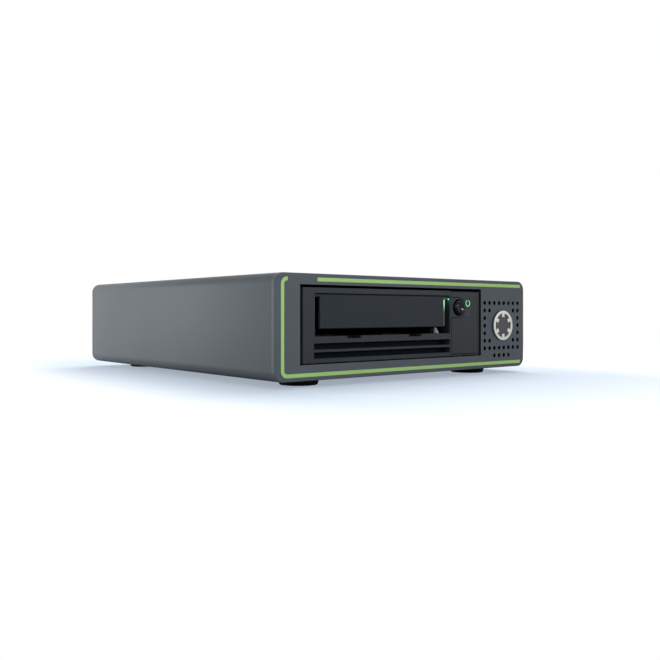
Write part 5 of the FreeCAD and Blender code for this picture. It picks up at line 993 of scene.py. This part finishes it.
back_y = rear_high.y
rear = rounded("rear_plate", rear_low, rear_high, CORNER_R, 14)
bevelled(rear, CHAMFER, 3, lies_at(back_y), profile=0.6)
inside, outside = rear_low.y - WALL, back_y + WALL
vents = []
for index in range(VENTS):
    x, z = rear_low.x + VENT_X + index * HOLE_PITCH, rear_low.z + VENT_Z
    vents.append(rounded("vent", (x - VENT_R, inside, z - VENT_R), (x + VENT_R, outside, z + VENT_H + VENT_R),
                         VENT_R - HAIR))
carve(rear, joined(vents))
cage_low, cage_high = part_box("data_port_cage")
ports = block("ports", (cage_low.x - PORT_FIT, inside, cage_low.z - PORT_FIT),
              (cage_high.x + PORT_FIT, outside, cage_high.z + PORT_FIT))
carve(rear, ports, centred("inlet", INLET, INLET_CUT, inside, outside),
      centred("switch", SWITCH, SWITCH_CUT, inside, outside))
ease(rear, 0.12 * MM, angle=40)
seat(rear, coat, "case", "case_finish", "rear_panel")


# ---- Mains inlet
# A snap-in inlet moulded in black nylon: a rounded flange outside the plate and a deep six-sided
# socket with three flat plated pins that stand in from its back.
INLET_BODY = (13.6 * MM, 9.8 * MM)
INLET_HOLLOW = (12 * MM, 8.2 * MM)
INLET_DEPTH = 15.5 * MM
SEAT_IN = 0.5 * MM
PIN_HALF = (1 * MM, 2 * MM)
PIN_PLACES = ((-7 * MM, -2 * MM), (0, 2 * MM), (7 * MM, -2 * MM))

nylon = moulded("inlet_nylon", shade(24, 24, 26), shade(36, 36, 39), rough=0.45)
inlet_low, inlet_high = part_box("power_inlet")
socket = rounded("mains_socket", (inlet_low.x, back_y, inlet_low.z), inlet_high, 3 * MM)
carve(socket, centred("body", INLET, INLET_BODY, inlet_low.y, back_y + SEAT_IN), operation="UNION")
hollow = centred("hollow", INLET, INLET_HOLLOW, inlet_high.y - INLET_DEPTH, inlet_high.y + WALL)
bevelled(hollow, 5 * MM, 1, lambda edge: runs_along(edge, 1) and edge.verts[0].co.z > INLET[1])
bevelled(hollow, 0.8 * MM, 4, lambda edge: runs_along(edge, 1))
carve(socket, hollow)
ease(socket, 0.2 * MM, 3)
seat(socket, nylon, "case", "inlet_black", "power_inlet")
pins_low, pins_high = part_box("inlet_pins")
pins = [centred("pin", (INLET[0] + x, INLET[1] + z), PIN_HALF, pins_low.y, pins_high.y)
        for x, z in PIN_PLACES]
blades = ease(joined(pins), 0.35 * MM, 3)
plated = Finish("plated_pins")
rub = plated.brushed(0.2 * MM, (1, 0.08, 1))
plated.set(Base_Color=plated.blend(rub, shade(176, 172, 160), shade(206, 203, 194)))
plated.set(Metallic=1.0, Roughness=rub * 0.18 + 0.22)
plated.raised(rub, 0.01 * MM, 0.3)
seat(blades, plated, "case", "pin_brass", "inlet_pins")


# ---- Mains switch
# A snap-in rocker switch in black nylon. The rocker has a shallow V face and moulded white marks,
# an upright bar for on and a ring for off, and it tips on two pins in its housing.
SWITCH_BODY = (9.5 * MM, 6.5 * MM)
SWITCH_POCKET = (7.6 * MM, 6.48 * MM)
POCKET_DEPTH = 9 * MM
ON_PLACE = (3.41 * MM, 3.434 * MM, -1.3)
OFF_PLACE = (-2.33 * MM, 4.241 * MM, 17.3)
PIVOT = Vector((SWITCH[0], back_y - 3.22 * MM, SWITCH[1]))


def dress(finish, *nodes):
    """Gives CAD solids that are shown as they are a finish."""
    for name in nodes:
        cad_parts[name].data.materials[0] = finish.material


switch_low, switch_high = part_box("switch_housing")
housing = block("switch_frame", (switch_low.x, back_y, switch_low.z), switch_high)
bevelled(housing, 0.6 * MM, 3, lies_at(switch_high.y))
carve(housing, centred("body", SWITCH, SWITCH_BODY, switch_low.y, back_y + SEAT_IN), operation="UNION")
carve(housing, centred("pocket", SWITCH, SWITCH_POCKET, back_y - POCKET_DEPTH, switch_high.y + WALL))
ease(housing, 0.15 * MM)
seat(housing, nylon, "case", "inlet_black", "switch_housing")
dress(moulded("rocker_black", shade(16, 16, 18), shade(26, 26, 28), rough=0.3, gloss=0.4), "switch_rocker")
mark_white = moulded("mark_white", shade(205, 206, 204), shade(226, 227, 225))
on_mark = block("on_mark", (-0.28 * MM, -0.2 * MM, -1.2 * MM), (0.28 * MM, 0.05 * MM, 1.2 * MM))
ease(on_mark, 0.04 * MM)
off_mark = turned("off_mark", mm((0.75, 0.05), (1.15, 0.05), (1.15, -0.2), (0.75, -0.2), (0.75, 0.05)),
                  (0, 0, 0), (0, 1, 0), 40)
for mark, (up, out, tilt) in ((on_mark, ON_PLACE), (off_mark, OFF_PLACE)):
    placed = copied(mark, mark.name, PIVOT + Vector((0, out, up)), (math.radians(tilt), 0, 0))
    bpy.data.objects.remove(mark)
    seat(placed, mark_white, "rocker", "badge_pale")


# ---- Sheet steel
# The chassis tray, the drive's brackets and the fan's bracket, bent from zinc-plated sheet. The plating
# shows its spangle, and the drive's pressed top cover is brushed along its length.
def metal(name, dark, pale, size=0.3 * MM, stretch=(1, 0.06, 1), rough=0.3, metallic=0.9):
    """Metal with fine streaks along one axis and faint clouds."""
    finish = Finish(name)
    streaks = finish.brushed(size, stretch)
    clouds = finish.noise(12 * MM, 2)
    finish.set(Base_Color=finish.blend(streaks * 0.6 + clouds * 0.4, dark, pale))
    finish.set(Metallic=metallic, Roughness=streaks * 0.25 + rough)
    return finish.raised(streaks, 0.01 * MM, 0.3)


zinc = Finish("zinc_plate")
spangle = zinc.cells(5 * MM)
mist = zinc.noise(0.8 * MM, 3)
zinc.set(Base_Color=zinc.blend(spangle * 0.7 + mist * 0.3, shade(122, 127, 130), shade(168, 173, 176)))
zinc.set(Metallic=0.85, Roughness=spangle * 0.25 + 0.3)
zinc.raised(mist, 0.01 * MM, 0.3)
dress(zinc, "inner_chassis", "drive_brackets", "fan_bracket")
dress(metal("cover_steel", shade(132, 137, 140), shade(172, 177, 180)), "drive_top_cover")


# ---- Castings
# The drive's base and the head's frame are cast aluminium with a sandy, unpolished skin.
# Side screws hold the base between its brackets, and the head's frame stands on the base's deck.
cast = Finish("cast_aluminium")
sand = cast.noise(0.6 * MM, 4)
flow = cast.noise(20 * MM, 2)
cast.set(Base_Color=cast.blend(sand * 0.6 + flow * 0.4, shade(104, 107, 110), shade(146, 149, 152)))
cast.set(Metallic=0.6, Roughness=sand * 0.3 + 0.42)
cast.raised(sand, 0.08 * MM, 0.6)
dress(cast, "drive_base", "head_frame")


# ---- Turned and pressed steel
# Bright screws, pins, posts and guide rollers, turned from steel bar, with fine turning marks.
# The threader arm is pressed from steel sheet and turns on a post of its own.
ROLLERS = [f"guide_roller_{index}" for index in range(1, 5)]
dress(metal("machined_steel", shade(140, 143, 146), shade(190, 193, 196), 0.15 * MM, (1, 1, 6), 0.2),
      "fan_screws", "drive_screws", "door_pin", "bearing_posts", "threader_arm", *ROLLERS)


# ---- Loader and fan
# Moulded in black and white plastics: the sled, tray and hub in a dry black nylon, the fan in a
# shinier black, and the gears in white acetal. The small pinion is brass.
dress(moulded("nylon_black", shade(21, 21, 23), shade(34, 34, 36), rough=0.55, gloss=0.1),
      "loader_sled", "cartridge_tray", "spindle_hub")
dress(moulded("fan_black", shade(18, 18, 20), shade(30, 30, 32), rough=0.35), "fan_frame", "fan_rotor")
dress(moulded("acetal_white", shade(206, 205, 198), shade(226, 225, 219), rough=0.4),
      "idler_gear", "reduction_gear")
dress(metal("brass", shade(158, 128, 62), shade(202, 172, 98), 0.2 * MM, (1, 1, 5), 0.25), "loader_pinion")


# ---- Motors and reel
# Motor cans pressed from zinc-plated steel, with fine upright streaks, and the take-up reel and the
# head's carriage moulded in grey plastic.
dress(metal("motor_can", shade(96, 99, 102), shade(140, 143, 146), stretch=(1, 1, 0.06)),
      "loader_motor", "spindle_motor", "takeup_motor")
dress(moulded("reel_grey", shade(92, 95, 98), shade(116, 119, 122), rough=0.4),
      "takeup_reel", "head_carriage")


# ---- Circuit boards
# Glass-epoxy boards in dark green solder mask, with copper tracks that turn at right angles under it.
# The power board stands on the chassis's posts, and the drive's own board hangs under its deck.
board = Finish("circuit_board")
blocks = board.cells(3.2 * MM, "CHEBYCHEV")
tracks = (blocks > 0.42) * (blocks < 0.48)
print_grain = board.noise(0.4 * MM, 2)
mask = board.blend(print_grain, shade(9, 30, 18), shade(16, 42, 27))
board.set(Base_Color=board.blend(tracks, mask, shade(34, 78, 48)), Roughness=print_grain * 0.2 + 0.35)
board.set(Specular_IOR_Level=0.3)
board.raised(tracks, 0.03 * MM, 0.5)
dress(board, "lamp_board", "drive_board", "interface_board", "power_board")


# ---- Power parts
# A transformer wound in yellow tape, capacitors in dark blue sleeves and heat sinks in black-anodised
# aluminium, all soldered to the power board, and leads in red plastic insulation.
dress(moulded("transformer_tape", shade(150, 118, 44), shade(178, 144, 62), rough=0.35), "transformer")
dress(moulded("capacitor_sleeve", shade(20, 28, 52), shade(32, 42, 70), rough=0.3), "capacitors")
dress(metal("black_anodised", shade(28, 29, 31), shade(46, 47, 49), stretch=(1, 1, 0.06), rough=0.4,
            metallic=0.5), "heat_sinks")
dress(moulded("lead_insulation", shade(118, 30, 26), shade(142, 44, 38), rough=0.45), "power_leads")


# ---- Data cable and ports
# A flat ribbon of grey wires that runs from the drive's rear connector up to the interface card, and the
# nickel-plated sheet cage that the two ports share.
ribbon = Finish("ribbon_cable")
wires = ribbon.node("ShaderNodeTexWave", {"bands_direction": "X"},
                    {"Vector": ribbon.place, "Scale": 1 / (8 * MM)})
ribbon.set(Base_Color=ribbon.blend(wires, shade(96, 98, 100), shade(150, 152, 154)))
ribbon.set(Roughness=wires * 0.2 + 0.4)
ribbon.raised(wires, 0.2 * MM, 0.6)
dress(ribbon, "data_cable")
dress(metal("nickel", shade(108, 108, 106), shade(150, 150, 147), 0.25 * MM, (1, 0.1, 1)), "data_port_cage")
